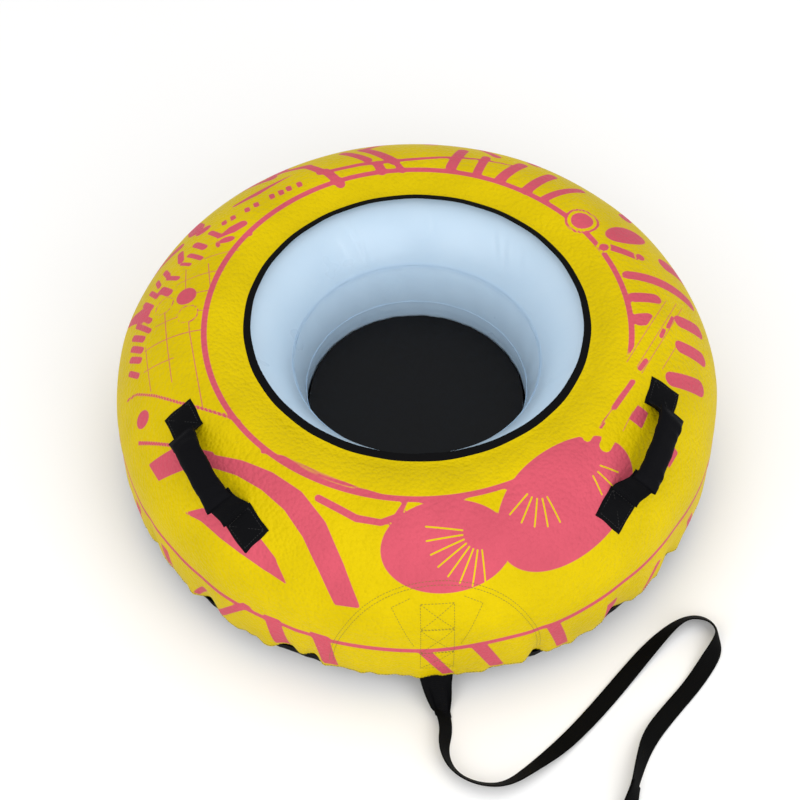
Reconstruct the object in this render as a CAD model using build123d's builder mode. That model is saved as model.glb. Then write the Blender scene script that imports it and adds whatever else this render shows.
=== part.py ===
"""A towable tube for one rider: an air ring in a sewn cover, with two grab handles and a tow strap."""

import os
from math import atan2, cos, degrees, radians, sin

from build123d import *

os.makedirs("parts", exist_ok=True)

# The ring's outline is four quarters round a meridian, counted from the outer equator up and over.
# Each quarter is (centre radius, centre height, half width, half height, squareness), in millimetres.
quarters = [
    (299, 150, 141, 155, 1.72),
    (299, 130, 141, 175, 2.0),
    (262, 130, 104, 130, 2.0),
    (350, 150, 90, 150, 3.0),
]

# Sheets, as depths below the outline. Everything between cover and bladder is sewn to the cover.
cover_skin = (0.0, 0.9)
lining_skin = (0.95, 1.45)
webbing_skin = (1.7, 2.45)
bladder_skin = (2.6, 3.4)

# Angles along the outline, in degrees from the outer equator.
rim_angle = 116.1
hem_angle = -39.3
weld_angle = 150.4
crease_angle = 178.0
floor_angle = 183.0
base_weld_angle = -35.0

binding_width = 12.5
binding_thickness = 0.75
floor_radius = 157.8
floor_thickness = 1.2
floor_height = 122.0
floor_tape_width = 7.0

webbing_width = 50.0
strap_width = 25.0
strap_thickness = 2.6
sheet_step = 6.0


def outline_point(angle, depth=0.0):
    """The point (radius, height) of the ring's outline at an angle, some depth below its skin."""
    turn = angle % 360
    radius, height, half_width, half_height, power = quarters[int(turn // 90)]
    across, up = cos(radians(turn)), sin(radians(turn))
    reach = (abs(across) ** power + abs(up) ** power) ** (-1 / power)
    return radius + (half_width - depth) * across * reach, height + (half_height - depth) * up * reach


def surface_point(angle, azimuth, depth=0.0):
    """The point of the cover at an outline angle and an azimuth about the ring's axis."""
    radius, height = outline_point(angle, depth)
    return Vector(radius * cos(radians(azimuth)), radius * sin(radians(azimuth)), height)


def surface_normal(angle, azimuth):
    """The cover's outward direction there."""
    before, after = outline_point(angle - 0.5), outline_point(angle + 0.5)
    outward, upward = after[1] - before[1], before[0] - after[0]
    size = (outward**2 + upward**2) ** 0.5
    outward, upward = outward / size, upward / size
    return Vector(outward * cos(radians(azimuth)), outward * sin(radians(azimuth)), upward)


def meridian_plane(azimuth):
    """The upright plane through the ring's axis at an azimuth: x is the radius and y the height."""
    across = Vector(cos(radians(azimuth)), sin(radians(azimuth)), 0)
    return Plane(origin=(0, 0, 0), x_dir=across, z_dir=across.cross(Vector(0, 0, 1)))


def arc_points(start, stop, depth):
    """Points along the outline between two angles of one smooth stretch, both ends included."""
    count = max(3, round(abs(stop - start) / sheet_step) + 1)
    return [outline_point(start + (stop - start) * i / (count - 1), depth) for i in range(count)]


def draw_outline(start, stop, depth):
    """Draws the outline from start up to stop. The flat bottom lies between two quarters at 270 degrees."""
    if start < 270 < stop:
        rising = arc_points(start, 269.999, depth)
        falling = arc_points(270.001, stop, depth)
        Spline(*rising)
        Line(rising[-1], falling[0])
        Spline(*falling)
        return rising[0], falling[-1]
    points = arc_points(start, stop, depth)
    Spline(*points)
    return points[0], points[-1]


def sheet_profile(start, stop, skin, plane=Plane.XZ):
    """The cut through a sheet that follows the ring between two outline angles."""
    with BuildSketch(plane) as profile:
        with BuildLine():
            outer = draw_outline(start, stop, skin[0])
            inner = draw_outline(start, stop, skin[1])
            Line(outer[0], inner[0])
            Line(outer[1], inner[1])
        make_face()
    return profile.sketch


def patch_profile(start, stop, skin, azimuth):
    return sheet_profile(start, stop, skin, meridian_plane(azimuth))


def save(builder, name):
    builder.part.label = name
    export_step(builder.part, f"parts/{name}.step")


# ---- Cover ----------------------------------------------------------------------------------

with BuildPart() as top_cover:
    revolve(sheet_profile(hem_angle, rim_angle, cover_skin), axis=Axis.Z)
save(top_cover, "top_cover")

with BuildPart() as bottom_cover:
    revolve(sheet_profile(floor_angle, 360 + hem_angle - 0.1, cover_skin), axis=Axis.Z)
save(bottom_cover, "bottom_cover")

# The hem tape backs the seam where the two covers are gathered together.
with BuildPart() as hem_seam_tape:
    revolve(sheet_profile(hem_angle - 1.7, hem_angle + 1.7, lining_skin), axis=Axis.Z)
save(hem_seam_tape, "hem_seam_tape")

# The rim binding is folded over the raw edge of the top cover.
rim_radius, rim_height = outline_point(rim_angle)
binding_turn = degrees(binding_width / (rim_height - quarters[1][1]))
binding_skin = (-binding_thickness - 0.05, lining_skin[1])
slot_skin = (-0.05, lining_skin[0])
with BuildPart() as rim_binding:
    revolve(sheet_profile(rim_angle - binding_turn, rim_angle + 0.3, binding_skin), axis=Axis.Z)
    slot = sheet_profile(rim_angle - binding_turn - 0.5, rim_angle + 0.05, slot_skin)
    revolve(slot, axis=Axis.Z, mode=Mode.SUBTRACT)
save(rim_binding, "rim_binding")

with BuildPart() as floor_panel:
    with BuildSketch(Plane.XY.offset(floor_height)):
        Circle(floor_radius)
    extrude(amount=floor_thickness)
save(floor_panel, "floor_panel")

with BuildPart() as floor_seam_tape:
    with BuildSketch(Plane.XY.offset(floor_height - 0.8)):
        Circle(floor_radius)
        Circle(floor_radius - floor_tape_width, mode=Mode.SUBTRACT)
    extrude(amount=0.75)
save(floor_seam_tape, "floor_seam_tape")

# ---- Valve ----------------------------------------------------------------------------------

# The valve stands low in the funnel on the tow side, where a rider's legs don't rub it.
valve_angle = 168.0
valve_azimuth = -90.0
valve_centre = surface_point(valve_angle, valve_azimuth, bladder_skin[0])
valve_out = surface_normal(valve_angle, valve_azimuth)
valve_plane = Plane(origin=valve_centre, x_dir=(-1, 0, 0), z_dir=valve_out)
flange_radius, flange_thickness = 24.0, 1.6
neck_outer, neck_inner = 14.0, 12.2
neck_top, neck_bottom = 3.0, -10.0
play = 0.3
insert_radius, nozzle_radius = neck_inner - play, 7.5
collar_radius, collar_thickness = 13.6, 2.4
gasket_thickness = 1.0
seat_floor = -9.0
port_ring, port_radius = 4.8, 2.0
membrane_radius, membrane_thickness = 8.5, 1.0
stem_radius, stem_length = 1.4, 5.6
cap_radius, cap_height, cap_wall = 16.2, 5.6, 1.4
plug_radius, plug_depth = nozzle_radius - play, 2.0
tether_width, tether_thickness = 8.0, 1.1
hinge_reach = 20.0

with BuildPart() as valve_base:
    with BuildSketch(valve_plane):
        Circle(flange_radius)
    extrude(amount=flange_thickness)
    with BuildSketch(valve_plane.offset(neck_bottom)):
        Circle(neck_outer)
    extrude(amount=neck_top - neck_bottom)
    with BuildSketch(valve_plane.offset(neck_bottom)):
        Circle(neck_inner)
    extrude(amount=neck_top - neck_bottom, mode=Mode.SUBTRACT)
save(valve_base, "valve_base")

gasket_bottom = neck_top + 0.1
with BuildPart() as valve_gasket:
    with BuildSketch(valve_plane.offset(gasket_bottom)):
        Circle(collar_radius)
        Circle(insert_radius + play, mode=Mode.SUBTRACT)
    extrude(amount=gasket_thickness)
save(valve_gasket, "valve_gasket")

# The insert is a hollow screw plug. The plate at its foot has three ports and the stem's hole.
collar_bottom = gasket_bottom + gasket_thickness + 0.1
collar_top = collar_bottom + collar_thickness
with BuildPart() as valve_insert:
    with BuildSketch(valve_plane.offset(seat_floor)):
        Circle(insert_radius)
    extrude(amount=collar_bottom - seat_floor)
    with BuildSketch(valve_plane.offset(collar_bottom)):
        Circle(collar_radius)
    extrude(amount=collar_thickness)
    with BuildSketch(valve_plane.offset(seat_floor + 2.0)):
        Circle(nozzle_radius)
    extrude(amount=collar_top - seat_floor - 2.0, mode=Mode.SUBTRACT)
    with BuildSketch(valve_plane.offset(seat_floor)):
        Circle(stem_radius + play)
        with PolarLocations(port_ring, 3):
            Circle(port_radius)
    extrude(amount=2.0, mode=Mode.SUBTRACT)
save(valve_insert, "valve_insert")

# The membrane is a rubber disc that leaves its seat when air is pumped in.
membrane_top = seat_floor - play
with BuildPart() as valve_membrane:
    with BuildSketch(valve_plane.offset(membrane_top - membrane_thickness)):
        Circle(membrane_radius)
    extrude(amount=membrane_thickness)
    with BuildSketch(valve_plane.offset(membrane_top)):
        Circle(stem_radius)
    extrude(amount=stem_length)
    with BuildSketch(valve_plane.offset(membrane_top + stem_length)):
        Circle(stem_radius + 1.0)
    extrude(amount=1.2)
save(valve_membrane, "valve_membrane")

# The tether is a ring snapped on the collar, with a tongue that ends in the cap's living hinge.
tether_bottom = collar_bottom + 0.1
with BuildPart() as valve_tether:
    with BuildSketch(valve_plane.offset(tether_bottom)):
        Circle(cap_radius)
        with Locations((0, (collar_radius + 1 + hinge_reach - 0.6) / 2)):
            Rectangle(tether_width, hinge_reach - collar_radius - 1.6)
        Circle(collar_radius + 0.1, mode=Mode.SUBTRACT)
    extrude(amount=tether_thickness)
save(valve_tether, "valve_tether")

cap_bottom = tether_bottom + tether_thickness + play
with BuildPart() as valve_cap:
    with BuildSketch(valve_plane.offset(cap_bottom)):
        Circle(cap_radius)
        with Locations((0, (cap_radius - 1 + hinge_reach) / 2)):
            Rectangle(tether_width, hinge_reach - cap_radius + 1)
    extrude(amount=1.2)
    with BuildSketch(valve_plane.offset(cap_bottom)):
        Circle(cap_radius)
    extrude(amount=cap_height)
    with BuildSketch(valve_plane.offset(cap_bottom)):
        Circle(cap_radius - cap_wall)
    extrude(amount=cap_height - cap_wall, mode=Mode.SUBTRACT)
    with BuildSketch(valve_plane.offset(collar_top - plug_depth)):
        Circle(plug_radius)
        Circle(plug_radius - 1.2, mode=Mode.SUBTRACT)
    extrude(amount=cap_bottom + cap_height - 0.5 - collar_top + plug_depth)
save(valve_cap, "valve_cap")

# ---- Bladder --------------------------------------------------------------------------------

with BuildPart() as bladder_outer_panel:
    revolve(sheet_profile(base_weld_angle, weld_angle, bladder_skin), axis=Axis.Z)
save(bladder_outer_panel, "bladder_outer_panel")

with BuildPart() as bladder_inner_panel:
    revolve(sheet_profile(weld_angle, crease_angle, bladder_skin), axis=Axis.Z)
    with BuildSketch(valve_plane.offset(-12)):
        Circle(flange_radius + 0.2)
    extrude(amount=24, mode=Mode.SUBTRACT)
save(bladder_inner_panel, "bladder_inner_panel")

with BuildPart() as bladder_base_panel:
    revolve(sheet_profile(crease_angle, 360 + base_weld_angle, bladder_skin), axis=Axis.Z)
save(bladder_base_panel, "bladder_base_panel")

# ---- Tow point ------------------------------------------------------------------------------

# The half-round panel and the webbing lie inside the cover, centred on the tow side.
panel_top_angle, panel_half_turn = 44.0, 20.0
with BuildPart() as tow_panel:
    start_azimuth = -90 - panel_half_turn
    panel = patch_profile(hem_angle + 2.0, panel_top_angle, lining_skin, start_azimuth)
    revolve(panel, axis=Axis.Z, revolution_arc=2 * panel_half_turn)
    with BuildSketch(Plane.XZ):
        with Locations((0, 20)):
            Circle(150)
            Rectangle(800, 800, align=(Align.CENTER, Align.MAX), mode=Mode.INTERSECT)
        with Locations((0, 18)):
            Ellipse(148, 222)
    extrude(amount=500, mode=Mode.INTERSECT)
save(tow_panel, "tow_panel")

ring_radius = quarters[0][0] + quarters[0][2]
webbing_half_turn = degrees(webbing_width / 2 / ring_radius)
webbing_top_angle = 24.0
with BuildPart() as tow_webbing:
    strip = patch_profile(hem_angle + 2.5, webbing_top_angle, webbing_skin, -90 - webbing_half_turn)
    revolve(strip, axis=Axis.Z, revolution_arc=2 * webbing_half_turn)
save(tow_webbing, "tow_webbing")

# The strap's route over the ground, from the gathered tail to the sewn eye.
strap_route = [
    (6, -468),
    (11, -491),
    (2, -532),
    (14, -567),
    (46, -588),
    (86, -591),
    (129, -562),
    (168, -531),
    (206, -494),
    (241, -456),
    (274, -419),
    (308, -382),
    (343, -350),
    (366, -337),
    (386, -336),
    (402, -347),
    (408, -367),
    (403, -388),
    (388, -410),
    (360, -446),
    (321, -488),
    (292, -524),
    (274, -562),
    (261, -600),
]
strap_height = strap_thickness / 2 + 0.1
strap_start = Vector(*strap_route[0], strap_height)
start_run = (Vector(*strap_route[1]) - Vector(*strap_route[0])).normalized()
start_across = Vector(-start_run.Y, start_run.X, 0)
strap_start_plane = Plane(origin=strap_start, x_dir=start_across, z_dir=start_run)

# Outside the hem the webbing is gathered from its full width to the strap's.
hem_radius, hem_height = outline_point(hem_angle)
tail_start = Vector(0, -hem_radius - 2.0, hem_height - 6)
tail_run = (strap_start - tail_start).normalized()
tail_across = Vector(1, 0, 0) - tail_run * tail_run.X
with BuildPart() as tow_tail:
    with BuildSketch(Plane(origin=tail_start, x_dir=tail_across, z_dir=tail_run)):
        Rectangle(webbing_width, 2.4)
    with BuildSketch(strap_start_plane):
        Rectangle(strap_width, strap_thickness)
    loft()
save(tow_tail, "tow_tail")

# ---- Strap ----------------------------------------------------------------------------------


def corner_radii(route):
    """The largest tangent arc at each corner that leaves a tenth of the shorter run straight."""
    radii = []
    for before, corner, after in zip(route, route[1:], route[2:]):
        into, out = Vector(corner) - Vector(before), Vector(after) - Vector(corner)
        half_turn = radians(into.get_angle(out)) / 2
        radii.append(0.45 * min(into.length, out.length) * cos(half_turn) / sin(half_turn))
    return radii


strap_radii = corner_radii(strap_route)
with BuildPart() as tow_strap:
    with BuildLine(Plane.XY.offset(strap_height)) as strap_path:
        FilletPolyline(*strap_route, radius=strap_radii)
    with BuildSketch(strap_start_plane):
        Rectangle(strap_width, strap_thickness)
    sweep()
save(tow_strap, "tow_strap")
strap_length = strap_path.wires()[0].length
print("strap radii", [round(radius) for radius in strap_radii])
print("strap length", round(strap_length), "volume", round(tow_strap.part.volume))
print("section times length", round(strap_length * strap_width * strap_thickness))

# The strap's end is folded back and box-stitched, which leaves a standing eye.
eye_length, eye_height, lap_length = 118.0, 34.0, 46.0
eye_start = Vector(*strap_route[-1])
eye_run = (eye_start - Vector(*strap_route[-2])).normalized()
eye_plane = Plane(
    origin=(eye_start.X, eye_start.Y, 0.1),
    x_dir=(eye_run.X, eye_run.Y, 0),
    z_dir=Vector(eye_run.Y, -eye_run.X, 0),
)
with BuildPart() as strap_eye:
    with BuildSketch(eye_plane) as eye_side:
        with BuildLine():
            lower = Line((0.3, 0), (eye_length - eye_height / 2, 0))
            nose = TangentArc(lower @ 1, (eye_length - eye_height / 2, eye_height), tangent=lower % 1)
            back = Line(nose @ 1, (lap_length + 26, eye_height * 0.62))
            drop = Spline(
                back @ 1, (lap_length, 2 * strap_thickness), tangents=(back % 1, (-1, 0))
            )
            lap = Line(drop @ 1, (0.3, 2 * strap_thickness))
            Line(lap @ 1, (0.3, 0))
        make_face()
        with BuildLine():
            base = Line((lap_length + 2, strap_thickness), (eye_length - eye_height / 2, strap_thickness))
            tip = (eye_length - eye_height / 2, eye_height - strap_thickness)
            bend = TangentArc(base @ 1, tip, tangent=base % 1)
            under = Line(bend @ 1, (lap_length + 26, eye_height * 0.62 - strap_thickness))
            fall = Spline(
                under @ 1,
                (lap_length + 2, strap_thickness + 0.2),
                tangents=(under % 1, (-1, -0.05)),
            )
            Line(fall @ 1, base @ 0)
        make_face(mode=Mode.SUBTRACT)
    extrude(amount=strap_width / 2, both=True)
save(strap_eye, "strap_eye")

# ---- Handles --------------------------------------------------------------------------------

patch_length, patch_width, patch_thickness = 47.0, 51.0, 2.0
rear_angle, rear_turn = 61.0, 66.5
front_angle, front_turn = 42.0, 39.2
axis_lift = 14.0
grip_half, slope_end = 51.0, 66.0
webbing_bottom, webbing_top, strap_gauge = 37.0, 39.0, 2.0
band_half = 19.5
foam_top, foam_half_width = 51.0, 17.5
sleeve_wall = 1.0
sleeve_half_width = 21.2
handle_lean = {"left": 8.0, "right": 0.0}
backing_turn, backing_rise = 4.2, 9.0

for side, sign in (("left", -1), ("right", 1)):
    ends = {}
    for end, angle, turn in (("rear", rear_angle, rear_turn), ("front", front_angle, front_turn)):
        azimuth = -90 + sign * turn
        ends[end] = surface_point(angle, azimuth)
        with BuildPart() as backing:
            strip = patch_profile(
                angle - backing_rise, angle + backing_rise, lining_skin, azimuth - backing_turn
            )
            revolve(strip, axis=Axis.Z, revolution_arc=2 * backing_turn)
        save(backing, f"{side}_{end}_backing")
    along = (ends["front"] - ends["rear"]).normalized()
    middle = (ends["front"] + ends["rear"]) / 2
    middle_azimuth = degrees(atan2(middle.Y, middle.X))
    upright = surface_normal((rear_angle + front_angle) / 2, middle_azimuth)
    upright = (upright - along * upright.dot(along)).normalized()
    upright = upright.rotate(Axis(origin=(0, 0, 0), direction=along), sign * handle_lean[side])
    frame = Plane(origin=middle, x_dir=along, z_dir=upright)
    profile_plane = Plane(origin=middle, x_dir=along, z_dir=-frame.y_dir)
    end_plane = Plane(origin=middle, x_dir=frame.y_dir, z_dir=along)

    # The webbing's two sewn ends, each lying on the cover.
    for end, angle, turn in (("rear", rear_angle, rear_turn), ("front", front_angle, front_turn)):
        azimuth = -90 + sign * turn
        normal = surface_normal(angle, azimuth)
        flat = along - normal * along.dot(normal)
        with BuildPart() as patch:
            with BuildSketch(Plane(origin=ends[end] + normal * 0.1, x_dir=flat, z_dir=normal)):
                Rectangle(patch_length, patch_width)
            extrude(amount=patch_thickness)
        save(patch, f"{side}_{end}_patch")

    # The free run of webbing between them, narrowed where it turns on the cover.
    with BuildPart() as grip_webbing:
        with BuildSketch(profile_plane):
            with BuildLine():
                Polyline(
                    (-slope_end, axis_lift - 2),
                    (-grip_half - 1, webbing_top),
                    (grip_half + 1, webbing_top),
                    (slope_end, axis_lift - 2),
                    (slope_end - strap_gauge, axis_lift - 2),
                    (grip_half, webbing_bottom),
                    (-grip_half, webbing_bottom),
                    (-slope_end + strap_gauge, axis_lift - 2),
                    close=True,
                )
            make_face()
        extrude(amount=band_half, both=True)
        with BuildSketch(end_plane.offset(-slope_end - 5)):
            with BuildLine():
                Polyline(
                    (-9, axis_lift - 3),
                    (9, axis_lift - 3),
                    (band_half, 32),
                    (band_half, 60),
                    (-band_half, 60),
                    (-band_half, 32),
                    close=True,
                )
            make_face()
        extrude(amount=2 * slope_end + 10, mode=Mode.INTERSECT)
    save(grip_webbing, f"{side}_handle_webbing")

    with BuildPart() as foam:
        with BuildSketch(end_plane.offset(-grip_half + 1)):
            with Locations((0, (webbing_top + foam_top) / 2 + 0.05)):
                RectangleRounded(2 * foam_half_width, foam_top - webbing_top - 0.1, 5.0)
        extrude(amount=2 * grip_half - 2)
    save(foam, f"{side}_handle_foam")

    with BuildPart() as sleeve:
        with BuildSketch(end_plane.offset(-grip_half)):
            with Locations((0, (webbing_bottom + foam_top) / 2 - 0.3)):
                wide, tall = 2 * (sleeve_half_width - sleeve_wall), foam_top - webbing_bottom + 1.4
                RectangleRounded(wide + 2 * sleeve_wall, tall + 2 * sleeve_wall, 2.5)
                RectangleRounded(wide, tall, 1.5, mode=Mode.SUBTRACT)
        extrude(amount=2 * grip_half)
    save(sleeve, f"{side}_handle_sleeve")
    print(side, "handle axis through", frame.from_local_coords((0, 0, axis_lift)), "along", along)
    print(side, "handle up", upright)

print("valve centre", valve_centre, "out", valve_plane.z_dir, "tongue", valve_plane.y_dir)
print("hinge height", cap_bottom + 0.6, "cap top", cap_bottom + cap_height, "eye run", eye_run)
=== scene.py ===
import math

import bmesh
import bpy
import numpy as np
from mathutils import Matrix, Vector


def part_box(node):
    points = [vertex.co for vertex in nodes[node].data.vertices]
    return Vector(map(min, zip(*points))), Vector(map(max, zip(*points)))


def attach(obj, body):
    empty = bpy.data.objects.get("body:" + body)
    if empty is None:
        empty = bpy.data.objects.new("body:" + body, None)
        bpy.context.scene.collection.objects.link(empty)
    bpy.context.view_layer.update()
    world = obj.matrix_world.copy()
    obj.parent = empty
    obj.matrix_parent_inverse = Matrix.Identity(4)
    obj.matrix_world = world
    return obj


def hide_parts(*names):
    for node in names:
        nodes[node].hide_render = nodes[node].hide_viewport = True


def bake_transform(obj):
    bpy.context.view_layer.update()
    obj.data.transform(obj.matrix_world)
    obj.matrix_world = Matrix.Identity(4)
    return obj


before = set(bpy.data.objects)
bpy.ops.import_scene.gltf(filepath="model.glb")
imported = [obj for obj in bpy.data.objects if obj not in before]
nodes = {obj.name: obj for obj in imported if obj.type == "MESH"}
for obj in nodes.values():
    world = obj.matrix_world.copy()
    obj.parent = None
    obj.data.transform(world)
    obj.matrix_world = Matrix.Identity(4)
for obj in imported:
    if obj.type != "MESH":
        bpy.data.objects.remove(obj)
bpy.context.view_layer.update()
mm = 0.001

# camera and light

cameraSetup = {
    "place": (-0.1582, -2.1886, 2.9133),
    "target": (-0.02427, 0.00148, 0.1175),
    "lens": 108.0,
    "sensor": 36.0,
}


def aimAt(item, target):
    item.rotation_euler = (Vector(target) - item.location).to_track_quat("-Z", "Y").to_euler()


def addCamera():
    bpy.ops.object.camera_add(location=cameraSetup["place"])
    camera = bpy.context.object
    camera.name = "viewCamera"
    camera.data.lens = cameraSetup["lens"]
    camera.data.sensor_width = cameraSetup["sensor"]
    camera.data.clip_end = 50
    aimAt(camera, cameraSetup["target"])
    bpy.context.scene.camera = camera


lamps = {
    "keyLamp": {"place": (-1.5, -1.9, 2.0), "size": 2.0, "power": 20, "tint": (1, 0.99, 0.97)},
    "fillLamp": {"place": (1.4, -2.5, 1.6), "size": 2.6, "power": 38, "tint": (0.98, 0.99, 1)},
    "topLamp": {"place": (0.2, 0.6, 3.4), "size": 2.6, "power": 14, "tint": (1, 1, 1)},
}


def addLamps():
    for name, lamp in lamps.items():
        bpy.ops.object.light_add(type="AREA", location=lamp["place"])
        light = bpy.context.object
        light.name = name
        light.data.size = lamp["size"]
        light.data.energy = lamp["power"]
        light.data.color = lamp["tint"]
        aimAt(light, (0, 0, 0.15))
        light.visible_camera = False
    world = bpy.data.worlds.new("studio")
    world.use_nodes = True
    world.node_tree.nodes["Background"].inputs[0].default_value = (1, 1, 1, 1)
    world.node_tree.nodes["Background"].inputs[1].default_value = 0.9
    bpy.context.scene.world = world
    bpy.context.scene.view_settings.view_transform = "Standard"


addCamera()
addLamps()
print("camera and lamps placed")

# shader helpers


def newMaterial(name):
    material = bpy.data.materials.new(name)
    material.use_nodes = True
    tree = material.node_tree
    return material, tree, tree.nodes["Principled BSDF"]


def feed(tree, value, target):
    if isinstance(value, bpy.types.NodeSocket):
        tree.links.new(value, target)
    else:
        target.default_value = value


def math1(tree, operation, a, b=None, c=None, clamp=False):
    node = tree.nodes.new("ShaderNodeMath")
    node.operation = operation
    node.use_clamp = clamp
    for slot, value in zip(node.inputs, (a, b, c)):
        if value is not None:
            feed(tree, value, slot)
    return node.outputs[0]


def vec1(tree, operation, a, b=None, scale=None):
    node = tree.nodes.new("ShaderNodeVectorMath")
    node.operation = operation
    feed(tree, a, node.inputs[0])
    if b is not None:
        feed(tree, b, node.inputs[1])
    if scale is not None:
        feed(tree, scale, node.inputs["Scale"])
    return node.outputs["Value"] if operation in ("DOT_PRODUCT", "LENGTH", "DISTANCE") else node.outputs[0]


def mixColour(tree, factor, a, b):
    node = tree.nodes.new("ShaderNodeMix")
    node.data_type = "RGBA"
    feed(tree, factor, node.inputs[0])
    feed(tree, a, node.inputs[6])
    feed(tree, b, node.inputs[7])
    return node.outputs[2]


def newGroup(name, inputs, outputs):
    group = bpy.data.node_groups.new(name, "ShaderNodeTree")
    for label, kind, value in inputs:
        socket = group.interface.new_socket(label, in_out="INPUT", socket_type=kind)
        socket.default_value = value
    for label, kind in outputs:
        group.interface.new_socket(label, in_out="OUTPUT", socket_type=kind)
    return group, group.nodes.new("NodeGroupInput"), group.nodes.new("NodeGroupOutput")


def useGroup(tree, group, **inputs):
    node = tree.nodes.new("ShaderNodeGroup")
    node.node_tree = group
    for key, value in inputs.items():
        feed(tree, value, node.inputs[key])
    return node


# the ring's outline

# each quarter of the section: centre out and up, half width, half height in millimetres, and squareness
quarters = (
    (299, 150, 141, 155, 1.72),
    (299, 130, 141, 175, 2.0),
    (262, 130, 104, 130, 2.0),
    (350, 150, 90, 150, 3.0),
)
rimAngle, hemAngle, weldAngle, creaseAngle, floorAngle = 116.1, -39.3, 150.4, 178.0, 183.0


def outlineTable():
    angles = np.concatenate([np.linspace(0, 269.999, 1081), np.linspace(270.001, 360, 361)])
    r, z = [], []
    for angle in angles:
        centre, height, wide, tall, power = quarters[min(3, int(angle // 90))]
        across, up = math.cos(math.radians(angle)), math.sin(math.radians(angle))
        reach = (abs(across) ** power + abs(up) ** power) ** (-1 / power)
        r.append((centre + wide * across * reach) * mm)
        z.append((height + tall * up * reach) * mm)
    r, z = np.array(r), np.array(z)
    run = np.concatenate([[0], np.cumsum(np.hypot(np.diff(r), np.diff(z)))])
    return angles, r, z, run


tableAngle, tableR, tableZ, tableRun = outlineTable()
fullRun = tableRun[-1]


def runAt(angle):
    turns = math.floor(angle / 360)
    return float(np.interp(angle - 360 * turns, tableAngle, tableRun)) + turns * fullRun


def ringPoint(run, azimuth, lift=0.0):
    s = np.mod(run, fullRun)
    r, z = np.interp(s, tableRun, tableR), np.interp(s, tableRun, tableZ)
    step = 0.002
    ahead, behind = np.mod(run + step, fullRun), np.mod(run - step, fullRun)
    dr = np.interp(ahead, tableRun, tableR) - np.interp(behind, tableRun, tableR)
    dz = np.interp(ahead, tableRun, tableZ) - np.interp(behind, tableRun, tableZ)
    size = np.hypot(dr, dz)
    r = r + lift * dz / size
    z = z - lift * dr / size
    return np.stack([r * np.cos(azimuth), r * np.sin(azimuth), z], -1)


rimRun = runAt(rimAngle)
hemRun = runAt(hemAngle)
hemRadius, funnelRadius, mouthRadius = 0.43, 0.235, 0.25
rimRadius = float(np.interp(rimRun, tableRun, tableR))


def printSpot(run, azimuth):
    reach = rimRadius + (rimRun - run)
    return np.stack([reach * np.cos(azimuth), reach * np.sin(azimuth)], -1)


# mesh helpers


def deselectAll():
    if bpy.context.object and bpy.context.object.mode != "OBJECT":
        bpy.ops.object.mode_set(mode="OBJECT")
    bpy.ops.object.select_all(action="DESELECT")


def pick(item):
    deselectAll()
    item.select_set(True)
    bpy.context.view_layer.objects.active = item


def applyAll(item):
    pick(item)
    for modifier in list(item.modifiers):
        bpy.ops.object.modifier_apply(modifier=modifier.name)


def closeSeams(item):
    pick(item)
    bpy.ops.object.mode_set(mode="EDIT")
    bpy.ops.mesh.select_all(action="SELECT")
    bpy.ops.mesh.remove_doubles(threshold=0.00002)
    bpy.ops.mesh.delete_loose()
    bpy.ops.mesh.normals_make_consistent(inside=False)
    bpy.ops.object.mode_set(mode="OBJECT")


def addSheet(name, columns, rows, place):
    deselectAll()
    bpy.ops.mesh.primitive_grid_add(x_subdivisions=columns, y_subdivisions=rows, size=1, calc_uvs=True)
    sheet = bpy.context.object
    sheet.name = name
    sheet.data.name = name
    count = len(sheet.data.vertices)
    flat = np.empty(count * 3)
    sheet.data.vertices.foreach_get("co", flat)
    flat = flat.reshape(-1, 3)
    across, along = flat[:, 0] + 0.5, flat[:, 1] + 0.5
    placed = place(across, along)
    sheet.data.vertices.foreach_set("co", placed.reshape(-1))
    sheet.data.update()
    return sheet, across, along


def writeUv(item, name, values):
    layer = item.data.uv_layers.get(name) or item.data.uv_layers.new(name=name)
    loops = np.empty(len(item.data.loops), np.int32)
    item.data.loops.foreach_get("vertex_index", loops)
    layer.data.foreach_set("uv", values[loops].astype(np.float32).reshape(-1))


def finishPiece(item, body, material, replaced=(), smooth=40):
    pick(item)
    item.data.materials.clear()
    item.data.materials.append(material)
    bpy.ops.object.shade_smooth_by_angle(angle=math.radians(smooth))
    if body:
        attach(item, body)
    if replaced:
        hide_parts(*replaced)


def raised(points, run, rise):
    # moves points straight up by a height that depends on the run
    return points + rise(run)[..., None] * np.array([0, 0, 1.0])


def runDown(along, outerRows, innerRows, runFrom, runTo):
    # out along the outer rows and back along the inner ones
    row = along * (outerRows + innerRows)
    t = np.where(row <= outerRows, row / outerRows, 1 - (row - outerRows) / innerRows)
    return row, runFrom + (runTo - runFrom) * t


def wrapSheet(name, columns, outerRows, innerRows, runFrom, runTo, lift, thickness, rise=np.zeros_like):
    # one closed skin: many rows outside, a few inside, all round the ring
    total = outerRows + innerRows

    def place(across, along):
        row, run = runDown(along, outerRows, innerRows, runFrom, runTo)
        inside = (row > outerRows + 0.001) & (row < total - 0.001)
        azimuth = across * 2 * math.pi
        return raised(ringPoint(run, azimuth, lift(run, azimuth) - inside * thickness), run, rise)

    sheet, across, along = addSheet(name, columns, total, place)
    _, run = runDown(along, outerRows, innerRows, runFrom, runTo)
    return sheet, run, across * 2 * math.pi


# shared shader effects


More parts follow.
